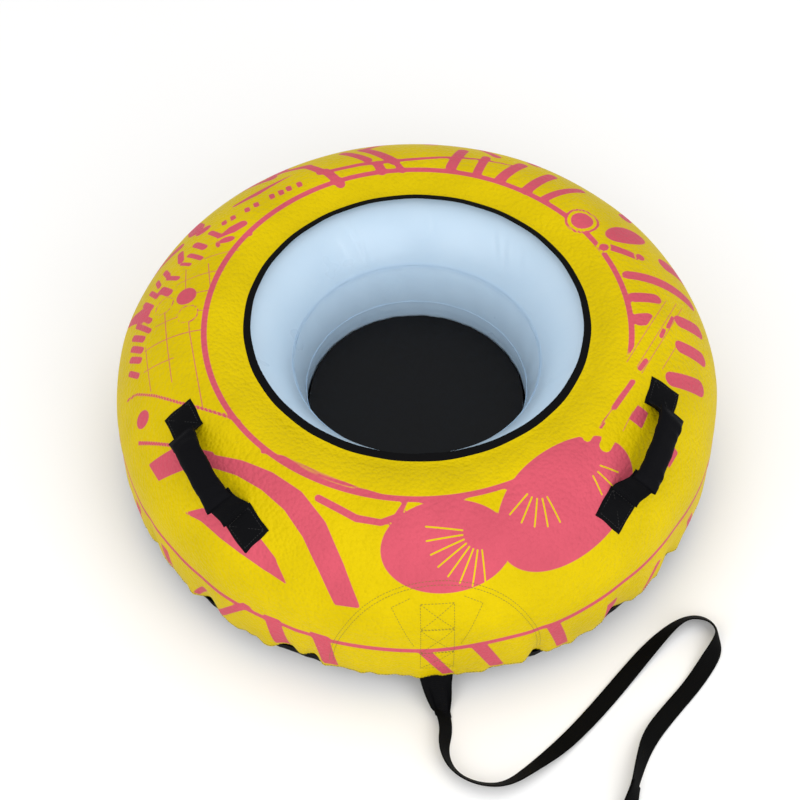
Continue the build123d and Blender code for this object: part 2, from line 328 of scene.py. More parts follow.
def clothWeave():
    # crossed threads on a map measured in metres
    group, into, out = newGroup(
        "clothWeave",
        (("map", "NodeSocketVector", (0, 0, 0)), ("threads", "NodeSocketFloat", 1.0)),
        (("height", "NodeSocketFloat"),),
    )
    parts = vec1(group, "SCALE", into.outputs["map"], scale=into.outputs["threads"])
    split = group.nodes.new("ShaderNodeSeparateXYZ")
    group.links.new(parts, split.inputs[0])
    u = math1(group, "SINE", math1(group, "MULTIPLY", split.outputs[0], 2 * math.pi))
    v = math1(group, "SINE", math1(group, "MULTIPLY", split.outputs[1], 2 * math.pi))
    group.links.new(math1(group, "MULTIPLY", u, v), out.inputs[0])
    return group


def softCrinkle():
    # wide soft folds and fine creases
    group, into, out = newGroup(
        "softCrinkle",
        (
            ("map", "NodeSocketVector", (0, 0, 0)),
            ("fold", "NodeSocketFloat", 20.0),
            ("crease", "NodeSocketFloat", 90.0),
        ),
        (("height", "NodeSocketFloat"), ("shade", "NodeSocketFloat")),
    )
    wide = group.nodes.new("ShaderNodeTexNoise")
    group.links.new(into.outputs["map"], wide.inputs["Vector"])
    group.links.new(into.outputs["fold"], wide.inputs["Scale"])
    wide.inputs["Detail"].default_value = 2
    fine = group.nodes.new("ShaderNodeTexNoise")
    group.links.new(into.outputs["map"], fine.inputs["Vector"])
    group.links.new(into.outputs["crease"], fine.inputs["Scale"])
    fine.inputs["Detail"].default_value = 3
    fine.inputs["Distortion"].default_value = 0.8
    apart = math1(group, "ABSOLUTE", math1(group, "SUBTRACT", fine.outputs[0], 0.5))
    folds = math1(group, "MULTIPLY", apart, 1.4)
    both = math1(group, "ADD", wide.outputs[0], folds)
    group.links.new(both, out.inputs[0])
    # the wide folds alone go out as shade, which the finishes use as painted shade in their colour
    group.links.new(wide.outputs[0], out.inputs[1])
    return group


weaveGroup = clothWeave()
crinkleGroup = softCrinkle()


def uvMap(tree, name):
    node = tree.nodes.new("ShaderNodeUVMap")
    node.uv_map = name
    return node.outputs[0]


def objectMap(tree):
    return tree.nodes.new("ShaderNodeTexCoord").outputs["Object"]


def bumpOf(tree, height, strength, distance, normal=None):
    node = tree.nodes.new("ShaderNodeBump")
    node.inputs["Strength"].default_value = strength
    node.inputs["Distance"].default_value = distance
    feed(tree, height, node.inputs["Height"])
    if normal is not None:
        feed(tree, normal, node.inputs["Normal"])
    return node.outputs[0]


# the print is laid out flat, in millimetres round the ring's axis; it is generic
printMarks = [
    ("ring", "pink", (0, -12), 306, 4.2),
    ("ring", "pink", (-8, -20), 534, 4.5),
    # left side
    ("line", "pink", ((-458, -57), (-430, -63), (-390, -87), (-347, -117), (-307, -141), (-258, -170)), 2.3),
    ("oval", "pink", (-421, -111), 15.5, 13.5, 10),
    ("line", "pink", ((-439, -141), (-355, -182)), (3.2, 2.4)),
    ("shape", "pink", ((-424, -183), (-355, -181), (-300, -208), (-286, -236), (-343, -219), (-409, -215))),
    (
        "line",
        "pink",
        ((-300, -222), (-262, -241), (-224, -268), (-190, -302), (-165, -345), (-148, -400), (-134, -458)),
        (9, 11, 14, 17, 19, 19, 18),
    ),
    ("shape", "yellow", ((-170, -450), (-112, -464), (-100, -500), (-180, -500))),
    (
        "line",
        "pink",
        ((-155, -303), (-105, -337), (-72, -346), (-50, -340), (-38, -322)),
        (5, 5, 4.5, 4.5, 3),
    ),
    ("line", "pink", ((-228, -224), (-200, -236), (-150, -268), (-100, -295), (-55, -314)), 2.2),
    (
        "line",
        "pink",
        ((-370, -277), (-335, -290), (-302, -314), (-270, -343), (-243, -378), (-222, -414)),
        (0.5, 10, 19, 21, 14, 0.5),
    ),
    ("oval", "pink", (-332, 70), 16, 16, 0),
    ("loop", "pink", (-330, 34), 16, 16, 0, 1.1),
    ("loop", "pink", (-370, 70), 16, 16, 0, 1.0),
    ("line", "pink", ((-284, 180), (-262, 192), (-246, 201)), (2, 8.5, 7)),
    ("oval", "pink", (-270, 171), 12, 6.5, 8),
    ("oval", "pink", (-284, 164), 3.5, 8, 10),
    ("oval", "pink", (-238, 178), 6, 4.5, 0),
    ("oval", "pink", (-312, 221), 14, 9, 20),
    # two plain ovals on the front
    ("oval", "pink", (16, -384), 92, 64, 4),
    ("oval", "pink", (188, -322), 120, 76, 42),
    # right side
    ("oval", "pink", (257, 175), 26, 26, 0),
    ("loop", "yellow", (257, 175), 19.5, 19.5, 0, 2.6),
    ("oval", "pink", (326, 160), 40, 20, 24),
    ("line", "pink", ((292, 121), (333, 110)), 7),
    ("loop", "yellow", (283, 120), 9, 9, 0, 1.8),
    ("oval", "pink", (283, 120), 7.2, 7.2, 0),
    ("loop", "yellow", (340, 113), 9, 9, 0, 1.6),
    ("oval", "pink", (340, 113), 7.4, 7.4, 0),
    ("line", "pink", ((392, 128), (436, 142)), (14, 16)),
    ("line", "pink", ((312, 66), (436, 70)), (8, 12)),
    ("line", "pink", ((316, 22), (352, 28)), 9),
    ("line", "pink", ((318, -20), (334, -16)), 11),
    ("line", "yellow", ((381, 38), (300, -96), (220, -228)), (11, 9, 6)),
    ("line", "yellow", ((400, 28), (318, -108), (246, -238)), (11, 12, 9)),
    ("line", "pink", ((378, 3), (365, -21)), 3.2),
    ("line", "pink", ((357, -29), (350, -43)), 3.4),
    ("line", "pink", ((320, -92), (309, -108)), 3.8),
    ("line", "pink", ((296, -131), (264, -177)), 3.8),
    ("line", "pink", ((247, -202), (241, -211)), 2.0),
    ("line", "pink", ((392, 2), (440, 12)), (11, 13)),
    ("line", "pink", ((386, -48), (436, -44)), (11, 13)),
    ("line", "pink", ((362, -112), (424, -102)), (12, 14)),
    ("shape", "pink", ((300, -168), (284, -192), (304, -204), (316, -178))),
    ("shape", "pink", ((345, -204), (376, -222), (359, -250), (336, -232))),
    # back
    (
        "line",
        "pink",
        ((-129, 297), (-66, 311), (-2, 316), (62, 320), (117, 317), (171, 305)),
        (4, 4, 3.5, 3, 2.6, 2),
    ),
    ("line", "pink", ((-120, 302), (-98, 271)), 7.5),
    ("line", "pink", ((-40, 310), (-34, 293)), 7.5),
    ("line", "pink", ((-14, 314), (-3, 293)), 5),
    ("line", "pink", ((-150, 334), (-124, 300)), 7),
    ("line", "pink", ((-92, 366), (-54, 322)), 7),
    ("line", "pink", ((-62, 370), (-14, 313)), 8),
    ("line", "pink", ((71, 295), (95, 350)), 8.5),
    ("line", "pink", ((110, 282), (128, 326)), 7),
    ("line", "pink", ((142, 264), (184, 316)), 8.5),
    ("line", "pink", ((180, 240), (228, 292)), 8.5),
    ("line", "pink", ((206, 222), (272, 266)), 6.5),
    ("line", "pink", ((-262, 258), (-226, 274), (-170, 310)), (3, 6, 1)),
]
# slanted bars stand in for the writing, in two rows
for x1, y1, x2, y2, wide in (
    (-446, -14, -424, -33, 5),
    (-443, 11, -418, -8, 5.5),
    (-441, 32, -414, 9, 5.5),
    (-439, 54, -411, 29, 5.5),
    (-432, 75, -397, 36, 4.5),
    (-427, 93, -397, 57, 5),
    (-418, 114, -396, 86, 5),
    (-406, 132, -387, 104, 4.5),
    (-393, 148, -385, 128, 4.5),
    (-378, 112, -362, 94, 7),
    (-368, 134, -348, 118, 4.5),
    (-378, 160, -368, 140, 5),
    (-350, 186, -346, 160, 6),
    (-331, 164, -310, 143, 4.5),
    (-344, 151, -328, 138, 3.5),
    (-322, 186, -306, 168, 6),
    (-297, 202, -282, 184, 5),
):
    printMarks.append(("line", "pink", ((x1, y1), (x2, y2)), wide))
# a dashed band runs behind the opening
for x, y in (
    (-276, 216),
    (-262, 223),
    (-240, 234),
    (-226, 242),
    (-202, 256),
    (-188, 262),
    (-176, 269),
    (-160, 276),
):
    printMarks.append(("shape", "pink", ((x - 5, y + 4), (x + 3, y + 8), (x + 6, y - 5), (x - 2, y - 9))))


def barEnds(turn, reach, long, slant):
    # both ends of a bar at a turn about the axis, and the direction across it
    out = np.array([math.cos(math.radians(turn)), math.sin(math.radians(turn))])
    across = np.array([-out[1], out[0]])
    lean = math.tan(math.radians(slant))
    near, far = (out * (reach + k * long / 2) + across * (lean * k * long / 2) for k in (-1, 1))
    return near, far, across


# blocks on the skirt, as turn about the axis, distance, length, half width and slant
for turn, reach, long, half, slant in (
    (270, 590, 72, 12, 34),
    (279.5, 590, 72, 14, 30),
    (293, 588, 76, 13, 22),
    (240, 586, 80, 16, 10),
    (249.5, 586, 80, 17, 12),
    (230, 584, 84, 10, -45),
    (221.6, 606, 46, 8, -40),
    (212, 598, 44, 12, 10),
    (200, 596, 50, 14, -20),
    (305, 600, 44, 14, 0),
    (316, 602, 50, 9, -35),
    (330, 596, 46, 13, 20),
    (344, 600, 48, 15, -10),
    (357, 598, 50, 10, 30),
    (10, 600, 46, 14, -25),
    (24, 598, 50, 12, 15),
    (38, 600, 44, 15, 0),
    (52, 602, 52, 10, -30),
    (67, 598, 46, 14, 20),
    (82, 600, 50, 11, -12),
    (97, 600, 44, 15, 28),
    (111, 598, 50, 10, -28),
    (126, 602, 46, 14, 8),
    (140, 600, 50, 12, -18),
    (155, 598, 44, 14, 24),
    (170, 600, 52, 10, -32),
    (185, 600, 46, 14, 12),
):
    near, far, across = barEnds(turn, reach, long, slant)
    side = across * half
    corners = (near - side, near + side, far + side, far - side)
    printMarks.append(("shape", "pink", tuple(tuple(float(v) for v in c) for c in corners)))
# bars, drops and dots on the far side of the crown
for turn, reach, long, half, slant in (
    (128, 430, 90, 12, 40),
    (141, 440, 70, 16, -30),
    (153, 455, 80, 10, 35),
    (167, 450, 60, 15, -20),
    (115, 440, 84, 14, -35),
    (101, 450, 60, 18, 20),
    (88, 440, 90, 12, 38),
    (75, 450, 66, 16, -28),
    (62, 440, 84, 11, 30),
    (49, 455, 60, 17, -34),
    (36, 450, 78, 12, 22),
    (95, 395, 40, 7, -50),
    (118, 385, 44, 8, 50),
    (70, 390, 42, 8, 45),
):
    near, far, _ = barEnds(turn, reach, long, slant)
    printMarks.append(("line", "pink", (tuple(near), tuple(far)), (half, half * 0.55)))

# fine lines are drawn by the finish itself, as x, y of both ends and the half width
fineInk = (
    (-334, 129, -333, 86, 0.7),
    (-298, 126, -295, 66, 0.7),
    (-328, 18, -327, -1, 0.7),
    (-327, -1, -310, -137, 0.7),
    (-368, 54, -364, -1, 0.8),
    (-364, -1, -357, -79, 0.7),
    (-405, 9, -397, -76, 0.7),
    (-347, 103, -276, 109, 0.6),
    (-316, 71, -292, 72, 0.7),
    (-385, 36, -346, 34, 0.7),
    (-314, 35, -301, 35, 0.7),
    (-407, 2, -305, -2, 0.8),
    (-409, -36, -353, -39, 0.7),
    (-304, 139, -253, 147, 0.6),
    (370, 32, 291, -98, 0.5),
    (392, 38, 305, -105, 0.5),
    (404, 36, 311, -115, 0.5),
    (376, -52, 346, -100, 0.5),
    (291, -180, 274, -212, 0.5),
)
# fans of thin strokes left open in the two ovals: centre, first turn, step, count and length
fans = ((62, -366, 172, 15, 8, 74), (146, -296, 228, 18, 5, 62), (214, -262, 300, 24, 3, 52))
fanStart, fanHalf = 24, 1.2
fineGap = [
    (math.cos(turn) * fanStart + x, math.sin(turn) * fanStart + y)
    + (math.cos(turn) * long + x, math.sin(turn) * long + y, fanHalf)
    for x, y, first, step, count, long in fans
    for turn in (math.radians(first + step * k) for k in range(count))
]


# finishes

inks = {"yellow": (0.59, 0.44, 0.0, 1), "pink": (0.55, 0.08, 0.118, 1)}


def fineLines():
    # a mask for strokes too thin for the mesh, on the flat map in metres
    group, into, out = newGroup(
        "fineLines",
        (("map", "NodeSocketVector", (0, 0, 0)),),
        (("ink", "NodeSocketFloat"), ("gap", "NodeSocketFloat")),
    )
    for outlet, strokes in zip(out.inputs, (fineInk, fineGap)):
        best = None
        for x1, y1, x2, y2, half in strokes:
            start, end = Vector((x1 * mm, y1 * mm, 0)), Vector((x2 * mm, y2 * mm, 0))
            side = end - start
            off = vec1(group, "SUBTRACT", into.outputs["map"], tuple(start))
            t = vec1(group, "DOT_PRODUCT", off, tuple(side / side.length_squared))
            t = math1(group, "ADD", t, 0.0, clamp=True)
            nearest = vec1(group, "SCALE", tuple(side), scale=t)
            away = math1(group, "SUBTRACT", vec1(group, "DISTANCE", off, nearest), half * mm)
            best = away if best is None else math1(group, "MINIMUM", best, away)
        mask = math1(group, "ADD", math1(group, "MULTIPLY", best, -1100.0), 0.5, clamp=True)
        group.links.new(mask, outlet)
    return group


def roughen(tree, shader, shade, spread, least):
    # roughness that wanders a little with the folds
    rough = math1(tree, "ADD", math1(tree, "MULTIPLY", shade, spread), least)
    tree.links.new(rough, shader.inputs["Roughness"])


def printedCloth():
    material, tree, shader = newMaterial("printedCloth")
    place = uvMap(tree, "print")
    edge = tree.nodes.new("ShaderNodeAttribute")
    edge.attribute_name = "printEdge"
    fine = useGroup(tree, fineLines(), map=place)
    distance = math1(tree, "MULTIPLY", edge.outputs["Fac"], -900.0)
    mask = math1(tree, "ADD", distance, 0.5, clamp=True)
    mask = math1(tree, "SUBTRACT", mask, fine.outputs["gap"], clamp=True)
    mask = math1(tree, "MAXIMUM", mask, math1(tree, "MULTIPLY", fine.outputs["ink"], 0.85))
    grain = tree.nodes.new("ShaderNodeTexVoronoi")
    grain.inputs["Scale"].default_value = 170
    tree.links.new(place, grain.inputs["Vector"])
    crinkle = useGroup(tree, crinkleGroup, map=place, fold=9.0, crease=60.0)
    # painted shade: the print's colour goes darker and lighter with the height of the wide folds
    shade = math1(tree, "MULTIPLY", math1(tree, "SUBTRACT", crinkle.outputs[1], 0.5), 0.35)
    tone = math1(tree, "ADD", shade, 1.0)
    colour = mixColour(tree, mask, inks["yellow"], inks["pink"])
    shadedPrint = tree.nodes.new("ShaderNodeHueSaturation")
    tree.links.new(colour, shadedPrint.inputs["Color"])
    tree.links.new(tone, shadedPrint.inputs["Value"])
    tree.links.new(shadedPrint.outputs[0], shader.inputs["Base Color"])
    first = bumpOf(tree, grain.outputs["Distance"], 0.55, 0.003)
    second = bumpOf(tree, crinkle.outputs[0], 0.35, 0.004, first)
    tree.links.new(second, shader.inputs["Normal"])
    roughen(tree, shader, crinkle.outputs[1], 0.2, 0.38)
    shader.inputs["Specular IOR Level"].default_value = 0.05
    return material


def darkCloth(name, colour, mapName, threads, depth, rough=0.7):
    material, tree, shader = newMaterial(name)
    place = uvMap(tree, mapName) if mapName else objectMap(tree)
    weave = useGroup(tree, weaveGroup, map=place, threads=threads)
    crinkle = useGroup(tree, crinkleGroup, map=objectMap(tree), fold=18.0, crease=120.0)
    # painted highlight and shade: the colour is lighter on the thread crests and on the raised wide folds
    light = tuple(c * 2 + 0.002 for c in colour)
    lit = math1(tree, "MULTIPLY", math1(tree, "ADD", weave.outputs[0], 1.0), 0.25)
    both = math1(tree, "MULTIPLY", lit, crinkle.outputs[1])
    tree.links.new(mixColour(tree, both, (*colour, 1), (*light, 1)), shader.inputs["Base Color"])
    normal = bumpOf(tree, weave.outputs[0], 0.4, depth)
    normal = bumpOf(tree, crinkle.outputs[0], 0.25, 0.002, normal)
    tree.links.new(normal, shader.inputs["Normal"])
    roughen(tree, shader, crinkle.outputs[1], 0.15, rough - 0.08)
    shader.inputs["Specular IOR Level"].default_value = 0.04
    return material


def whiteFilm():
    material, tree, shader = newMaterial("whiteFilm")
    crinkle = useGroup(tree, crinkleGroup, map=objectMap(tree), fold=14.0, crease=26.0)
    # painted shade: the film's two tones follow the height of the wide folds
    colour = mixColour(tree, crinkle.outputs[1], (0.46, 0.62, 0.78, 1), (0.50, 0.66, 0.81, 1))
    tree.links.new(colour, shader.inputs["Base Color"])
    tree.links.new(bumpOf(tree, crinkle.outputs[0], 0.08, 0.003), shader.inputs["Normal"])
    roughen(tree, shader, crinkle.outputs[1], 0.18, 0.22)
    shader.inputs["Subsurface Weight"].default_value = 0.15
    shader.inputs["Subsurface Radius"].default_value = (0.02, 0.03, 0.04)
    shader.inputs["Subsurface Scale"].default_value = 0.3
    shader.inputs["Coat Weight"].default_value = 0.12
    shader.inputs["Coat Roughness"].default_value = 0.2
    return material


def blackFilm():
    material, tree, shader = newMaterial("blackFilm")
    crinkle = useGroup(tree, crinkleGroup, map=objectMap(tree), fold=10.0, crease=40.0)
    # painted shade: the two near-black tones follow the height of the wide folds
    tone = mixColour(tree, crinkle.outputs[1], (0.003, 0.003, 0.0035, 1), (0.006, 0.0065, 0.0075, 1))
    tree.links.new(tone, shader.inputs["Base Color"])
    tree.links.new(bumpOf(tree, crinkle.outputs[0], 0.2, 0.003), shader.inputs["Normal"])
    roughen(tree, shader, crinkle.outputs[1], 0.2, 0.42)
    shader.inputs["Specular IOR Level"].default_value = 0.12
    return material


def plainPlastic(name, colour, rough):
    material, tree, shader = newMaterial(name)
    crinkle = useGroup(tree, crinkleGroup, map=objectMap(tree), fold=60.0, crease=400.0)
    # painted shade: a darker copy of the colour is laid in the low parts of the fine folds
    darker = tuple(c * 0.8 for c in colour)
    tone = mixColour(tree, crinkle.outputs[1], (*darker, 1), (*colour, 1))
    tree.links.new(tone, shader.inputs["Base Color"])
    tree.links.new(bumpOf(tree, crinkle.outputs[0], 0.1, 0.0006), shader.inputs["Normal"])
    roughen(tree, shader, crinkle.outputs[1], 0.15, rough - 0.07)
    return material


finishes = {
    "printed": printedCloth(),
    "underside": darkCloth("blackCoverCloth", (0.003, 0.003, 0.0035), None, 700.0, 0.0004),
    "binding": darkCloth("bindingTape", (0.003, 0.003, 0.0035), "tape", 420.0, 0.0005),
    "webbing": darkCloth("ribbedWebbing", (0.0026, 0.0027, 0.0034), "tape", 330.0, 0.0006),
    "strap": darkCloth("strapWeave", (0.002, 0.002, 0.002), "tape", 400.0, 0.0005),
    "sleeve": darkCloth("sleeveCloth", (0.0024, 0.0024, 0.0034), "tape", 900.0, 0.0003, 0.55),
    "film": whiteFilm(),
    "floor": blackFilm(),
    "valve": plainPlastic("valvePlastic", (0.62, 0.65, 0.67), 0.45),
    "rubber": plainPlastic("valveRubber", (0.03, 0.03, 0.03), 0.6),
    "thread": plainPlastic("seamThread", (0.20, 0.15, 0.01), 0.6),
    "darkThread": plainPlastic("darkThread", (0.012, 0.011, 0.011), 0.8),
}
print("finishes made")

# ribbons


def smoothLine(points, count, order=3):
    # a smooth open line through a loose set of control points
    data = bpy.data.curves.new("route", "CURVE")
    data.dimensions = "3D"
    spline = data.splines.new("NURBS")
    spline.points.add(len(points) - 1)
    for spot, place in zip(spline.points, points):
        spot.co = (*place, 1)
    spline.order_u = order
    spline.use_endpoint_u = True
    data.resolution_u = count
    item = bpy.data.objects.new("route", data)
    bpy.context.scene.collection.objects.link(item)
    mesh = bpy.data.meshes.new_from_object(item.evaluated_get(bpy.context.evaluated_depsgraph_get()))
    line = np.array([v.co[:] for v in mesh.vertices])
    bpy.data.objects.remove(item)
    return line


def lengthAlong(line):
    return np.concatenate([[0], np.cumsum(np.linalg.norm(np.diff(line, axis=0), axis=1))])


def unit(v):
    return v / np.maximum(np.linalg.norm(v, axis=-1, keepdims=True), 1e-12)


def capEnds(ends, item):
    # closes both open ends and turns every face outward
    bmesh.ops.holes_fill(ends, edges=[e for e in ends.edges if e.is_boundary], sides=0)
    bmesh.ops.recalc_face_normals(ends, faces=ends.faces)
    ends.to_mesh(item.data)
    ends.free()


def addRibbon(name, line, across, widths, thickness, wave=None, sides=18):
    # a woven strap: a flat closed section carried along a line
    ahead = unit(np.gradient(line, axis=0))
    across = unit(across - ahead * np.sum(across * ahead, -1, keepdims=True))
    up = np.cross(ahead, across)
    run = lengthAlong(line)
    count = len(line)

    def place(u, v):
        i = np.clip(np.round(u * (count - 1)).astype(int), 0, count - 1)
        turn = v * 2 * math.pi
        side = np.sign(np.cos(turn)) * np.abs(np.cos(turn)) ** 0.35
        rise = np.sign(np.sin(turn)) * np.abs(np.sin(turn)) ** 0.6
        lift = rise * thickness / 2
        if wave is not None:
            lift = lift + wave(i, side)
        return line[i] + across[i] * (side * widths[i] / 2)[:, None] + up[i] * lift[:, None]

    ribbon, u, v = addSheet(name, count - 1, sides, place)
    i = np.clip(np.round(u * (count - 1)).astype(int), 0, count - 1)
    side = np.cos(v * 2 * math.pi)
    writeUv(ribbon, "tape", np.stack([run[i], side * widths[i] / 2], -1))
    pick(ribbon)
    bpy.ops.object.mode_set(mode="EDIT")
    bpy.ops.mesh.select_all(action="SELECT")
    bpy.ops.mesh.remove_doubles(threshold=0.00002)
    bpy.ops.mesh.select_all(action="DESELECT")
    bpy.ops.object.mode_set(mode="OBJECT")
    ends = bmesh.new()
    ends.from_mesh(ribbon.data)
    capEnds(ends, ribbon)
    return ribbon


# tow tail, strap and eye

strapShape = {"width": 25 * mm, "thickness": 2.4 * mm, "steps": 10}
strapRoute = (  # x, y in metres on the ground, and the lean of the strap in degrees
    (0.006, -0.468, -30),
    (0.011, -0.491, -42),
    (0.002, -0.532, -58),
    (0.014, -0.567, -60),
    (0.046, -0.588, -54),
    (0.086, -0.591, -48),
    (0.129, -0.562, -34),
    (0.168, -0.531, -12),
    (0.206, -0.494, -4),
    (0.241, -0.456, 0),
    (0.274, -0.419, -5),
    (0.308, -0.382, -18),
    (0.343, -0.350, -42),
    (0.366, -0.337, -50),
    (0.386, -0.336, -46),
    (0.402, -0.347, -56),
    (0.408, -0.367, -80),
    (0.403, -0.388, -48),
    (0.388, -0.410, -16),
    (0.360, -0.446, 0),
    (0.321, -0.488, -6),
    (0.292, -0.524, -26),
    (0.274, -0.562, -56),
    (0.261, -0.600, -66),
)


tailShape = {"wide": 50, "narrowing": 24, "thickness": 2.2 * mm, "fold": 3.2, "smallFold": 1.6, "sides": 56}
eyeShape = {
    "width": 25 * mm,
    "thickness": 2.2 * mm,
    "profile": (  # along and up, in millimetres
        (0, 1.4),
        (40, 1.4),
        (80, 1.5),
        (108, 4),
        (117, 14),
        (112, 27),
        (96, 31),
        (78, 22),
        (60, 8),
        (48, 4.4),
        (24, 4.3),
        (1, 4.2),
    ),
}
upward = np.array([0, 0, 1.0])


def makeStrap():
    shape = strapShape
    half = shape["width"] / 2
    controls = [(x, y, 1.5 * mm + half * abs(math.sin(math.radians(lean)))) for x, y, lean in strapRoute]
    controls[0] = (controls[0][0], controls[0][1], 8 * mm)
    line = smoothLine(controls, shape["steps"])
    leans = smoothLine([(lean, 0, 0) for _, _, lean in strapRoute], shape["steps"])[:, 0]
    ahead = unit(np.gradient(line, axis=0))
    level = unit(np.stack([-ahead[:, 1], ahead[:, 0], 0 * ahead[:, 0]], -1))
    tilt = np.radians(leans)[:, None]
    across = level * np.cos(tilt) + upward * np.sin(tilt)
    widths = np.full(len(line), shape["width"])
    strap = addRibbon("towStrap", line, across, widths, shape["thickness"])
    finishPiece(strap, "tube", finishes["strap"], ["tow_strap"], smooth=50)
    return strap, line, across


def makeTail(strapLine, strapAcross):
    shape = tailShape
    hem = ringPoint(hemRun, math.radians(-90.0), 0)
    start = np.array([0, hem[1] + 3 * mm, hem[2] - 2 * mm])
    end = strapLine[0]
    ahead = unit(strapLine[3] - strapLine[0])
    controls = [
        start,
        start + [0, -9 * mm, -10 * mm],
        end - ahead * 14 * mm + [0, 0, 9 * mm],
        end - ahead * 3 * mm,
        end + ahead * 4 * mm,
        end + ahead * 9 * mm,
    ]
    line = smoothLine([tuple(c) for c in controls], 12)
    count = len(line)
    t = np.linspace(0, 1, count)
    first = np.array([1.0, 0, 0])
    across = unit(first * (1 - t)[:, None] + strapAcross[0] * t[:, None])
    widths = (shape["wide"] - shape["narrowing"] * np.clip(t * 1.35, 0, 1) ** 0.8) * mm

    def wave(i, side):
        gather = np.sin(np.pi * np.clip(t[i] * 1.1, 0, 1)) ** 1.2
        waves = shape["fold"] * np.sin(side * 5.2 + 0.6) + shape["smallFold"] * np.sin(side * 11 + 2)
        return gather * waves * mm

    tail = addRibbon("towTail", line, across, widths, shape["thickness"], wave, sides=shape["sides"])
    finishPiece(tail, "tube", finishes["webbing"], ["tow_tail"], smooth=50)
    return tail


def makeEye(strapLine):
    end = strapLine[-1]
    run = unit(np.array([-0.3237, -0.9462, 0]))
    side = np.array([-run[1], run[0], 0])
    base = np.array([end[0], end[1], 0])
    flat = smoothLine([(x * mm, 0, z * mm) for x, z in eyeShape["profile"]], 8)
    fade = np.exp(-((np.maximum(flat[:, 0], 0) / 0.05) ** 2))
    lean = np.radians(strapRoute[-1][2]) * fade
    rise = (abs(math.sin(math.radians(strapRoute[-1][2]))) * eyeShape["width"] / 2 * fade)[:, None]
    level, upright = np.cos(lean)[:, None], np.sin(lean)[:, None]
    across = side * level + upward * upright
    lift = upward * level - side * upright
    middle = (flat[:, 2:] - 2.8 * mm) * (1 - fade[:, None]) + (flat[:, 2:] - 1.4 * mm) * fade[:, None]
    line = base + run * flat[:, :1] + lift * middle + upward * rise
    line[:, 2] += 2.8 * mm * (1 - fade) + 1.4 * mm * fade
    widths = np.full(len(line), eyeShape["width"])
    eye = addRibbon("strapEye", line, across, widths, eyeShape["thickness"])
    finishPiece(eye, "tube", finishes["strap"], ["strap_eye"], smooth=50)
    return eye


towStrap, strapLine, strapAcross = makeStrap()
towTail = makeTail(strapLine, strapAcross)
strapEye = makeEye(strapLine)
strapLength = float(lengthAlong(strapLine)[-1])
print("strap length", round(strapLength, 4))

# top cover

hemPinches = (207, 223.4, 241.6, 246.4, 289.3, 307.2, 322.9, 341, 358, 14)
hemPinches += (31, 47, 66, 83, 101, 119, 134, 152, 171, 189)
coverShape = {
    "columns": 640,
    "rows": 100,
    "innerRows": 50,
    "thickness": 0.9 * mm,
    "pinchDepth": 8.0 * mm,
    "pinchWidth": 13.0 * mm,
    "pinchReach": 42.0 * mm,
    "puff": 3.5 * mm,
    "flat": (0.399, 2.765),
    "area": 0.954,
    "lip": 13.0 * mm,
    "lipReach": 26.0 * mm,
}


def gapTo(azimuth, degrees):
    return (azimuth - math.radians(degrees) + math.pi) % (2 * math.pi) - math.pi


def ripple(azimuth, seeds):
    total = np.zeros_like(azimuth)
    for count, phase, size in seeds:
        total += size * np.sin(count * azimuth + phase)
    return total


def rimLip(run):
    # the bound edge stands a little proud of the film
    return coverShape["lip"] * np.clip((run - rimRun) / coverShape["lipReach"] + 1, 0, 1) ** 2


def coverLift(run, azimuth):
    shape = coverShape
    up = np.abs(run - hemRun)  # how far above the hem
    near = np.exp(-((up / shape["pinchReach"]) ** 1.3))
    pinch = np.zeros_like(azimuth)
    fold = np.zeros_like(azimuth)
    for i, degrees in enumerate(hemPinches):
        side = gapTo(azimuth, degrees) * hemRadius
        wide = shape["pinchWidth"] * (0.8 + 0.25 * (i * 7 % 4))
        pinch += np.exp(-((side / wide) ** 2))
        fold += np.exp(-(((np.abs(side) - 1.9 * wide) / (0.9 * wide)) ** 2)) * (0.7 + 0.2 * (i * 5 % 3))
    small = ripple(azimuth, ((61, 0.4, 0.9), (97, 1.7, 0.7), (143, 2.9, 0.5), (37, 5.1, 1.0))) * mm
    wide = ripple(azimuth, ((5, 0.3, 0.5), (11, 1.1, 0.6), (17, 3.0, 0.5))) * mm
    lift = shape["puff"] * (near * (1 - np.minimum(1, pinch)) + 0.5 * fold * near)
    lift -= shape["pinchDepth"] * np.minimum(1.1, pinch) * near
    lift += small * np.exp(-up / 0.016) + wide * np.exp(-(((up - 0.09) / 0.08) ** 2))
    lift += (0.25 * mm) * np.sin(azimuth * 9 + run * 40)
    rim = np.exp(-((np.abs(rimRun - run) / 0.012) ** 2))
    return np.maximum(lift, -7 * mm) * (1 - rim)


def polygonEdge(spots, corners):
    # distance to the outline, below zero inside
    best = np.full(len(spots), 1e9)
    inside = np.zeros(len(spots), bool)
    for a, b in zip(corners, corners[1:] + corners[:1]):
        a, b = np.array(a, float), np.array(b, float)
        side = b - a
        off = spots - a
        t = np.clip(off @ side / (side @ side), 0, 1)
        best = np.minimum(best, np.hypot(*(off - t[:, None] * side).T))
        crosses = (a[1] > spots[:, 1]) != (b[1] > spots[:, 1])
        with np.errstate(divide="ignore", invalid="ignore"):
            reach = a[0] + (spots[:, 1] - a[1]) * side[0] / side[1]
        inside ^= crosses & (spots[:, 0] < reach)
    return np.where(inside, -best, best)


def strokeEdge(spots, line, widths):
    best = np.full(len(spots), 1e9)
    for i, (a, b) in enumerate(zip(line, line[1:])):
        a, b = np.array(a, float), np.array(b, float)
        side = b - a
        off = spots - a
        t = np.clip(off @ side / (side @ side), 0, 1)
        wide = widths[i] + (widths[i + 1] - widths[i]) * t
        best = np.minimum(best, np.hypot(*(off - t[:, None] * side).T) - wide)
    return best


def ovalEdge(spots, centre, wide, tall, turn):
    off = spots - np.array(centre, float)
    across, up = math.cos(math.radians(turn)), math.sin(math.radians(turn))
    u = (off[:, 0] * across + off[:, 1] * up) / wide
    v = (off[:, 1] * across - off[:, 0] * up) / tall
    return (np.hypot(u, v) - 1) * min(wide, tall)


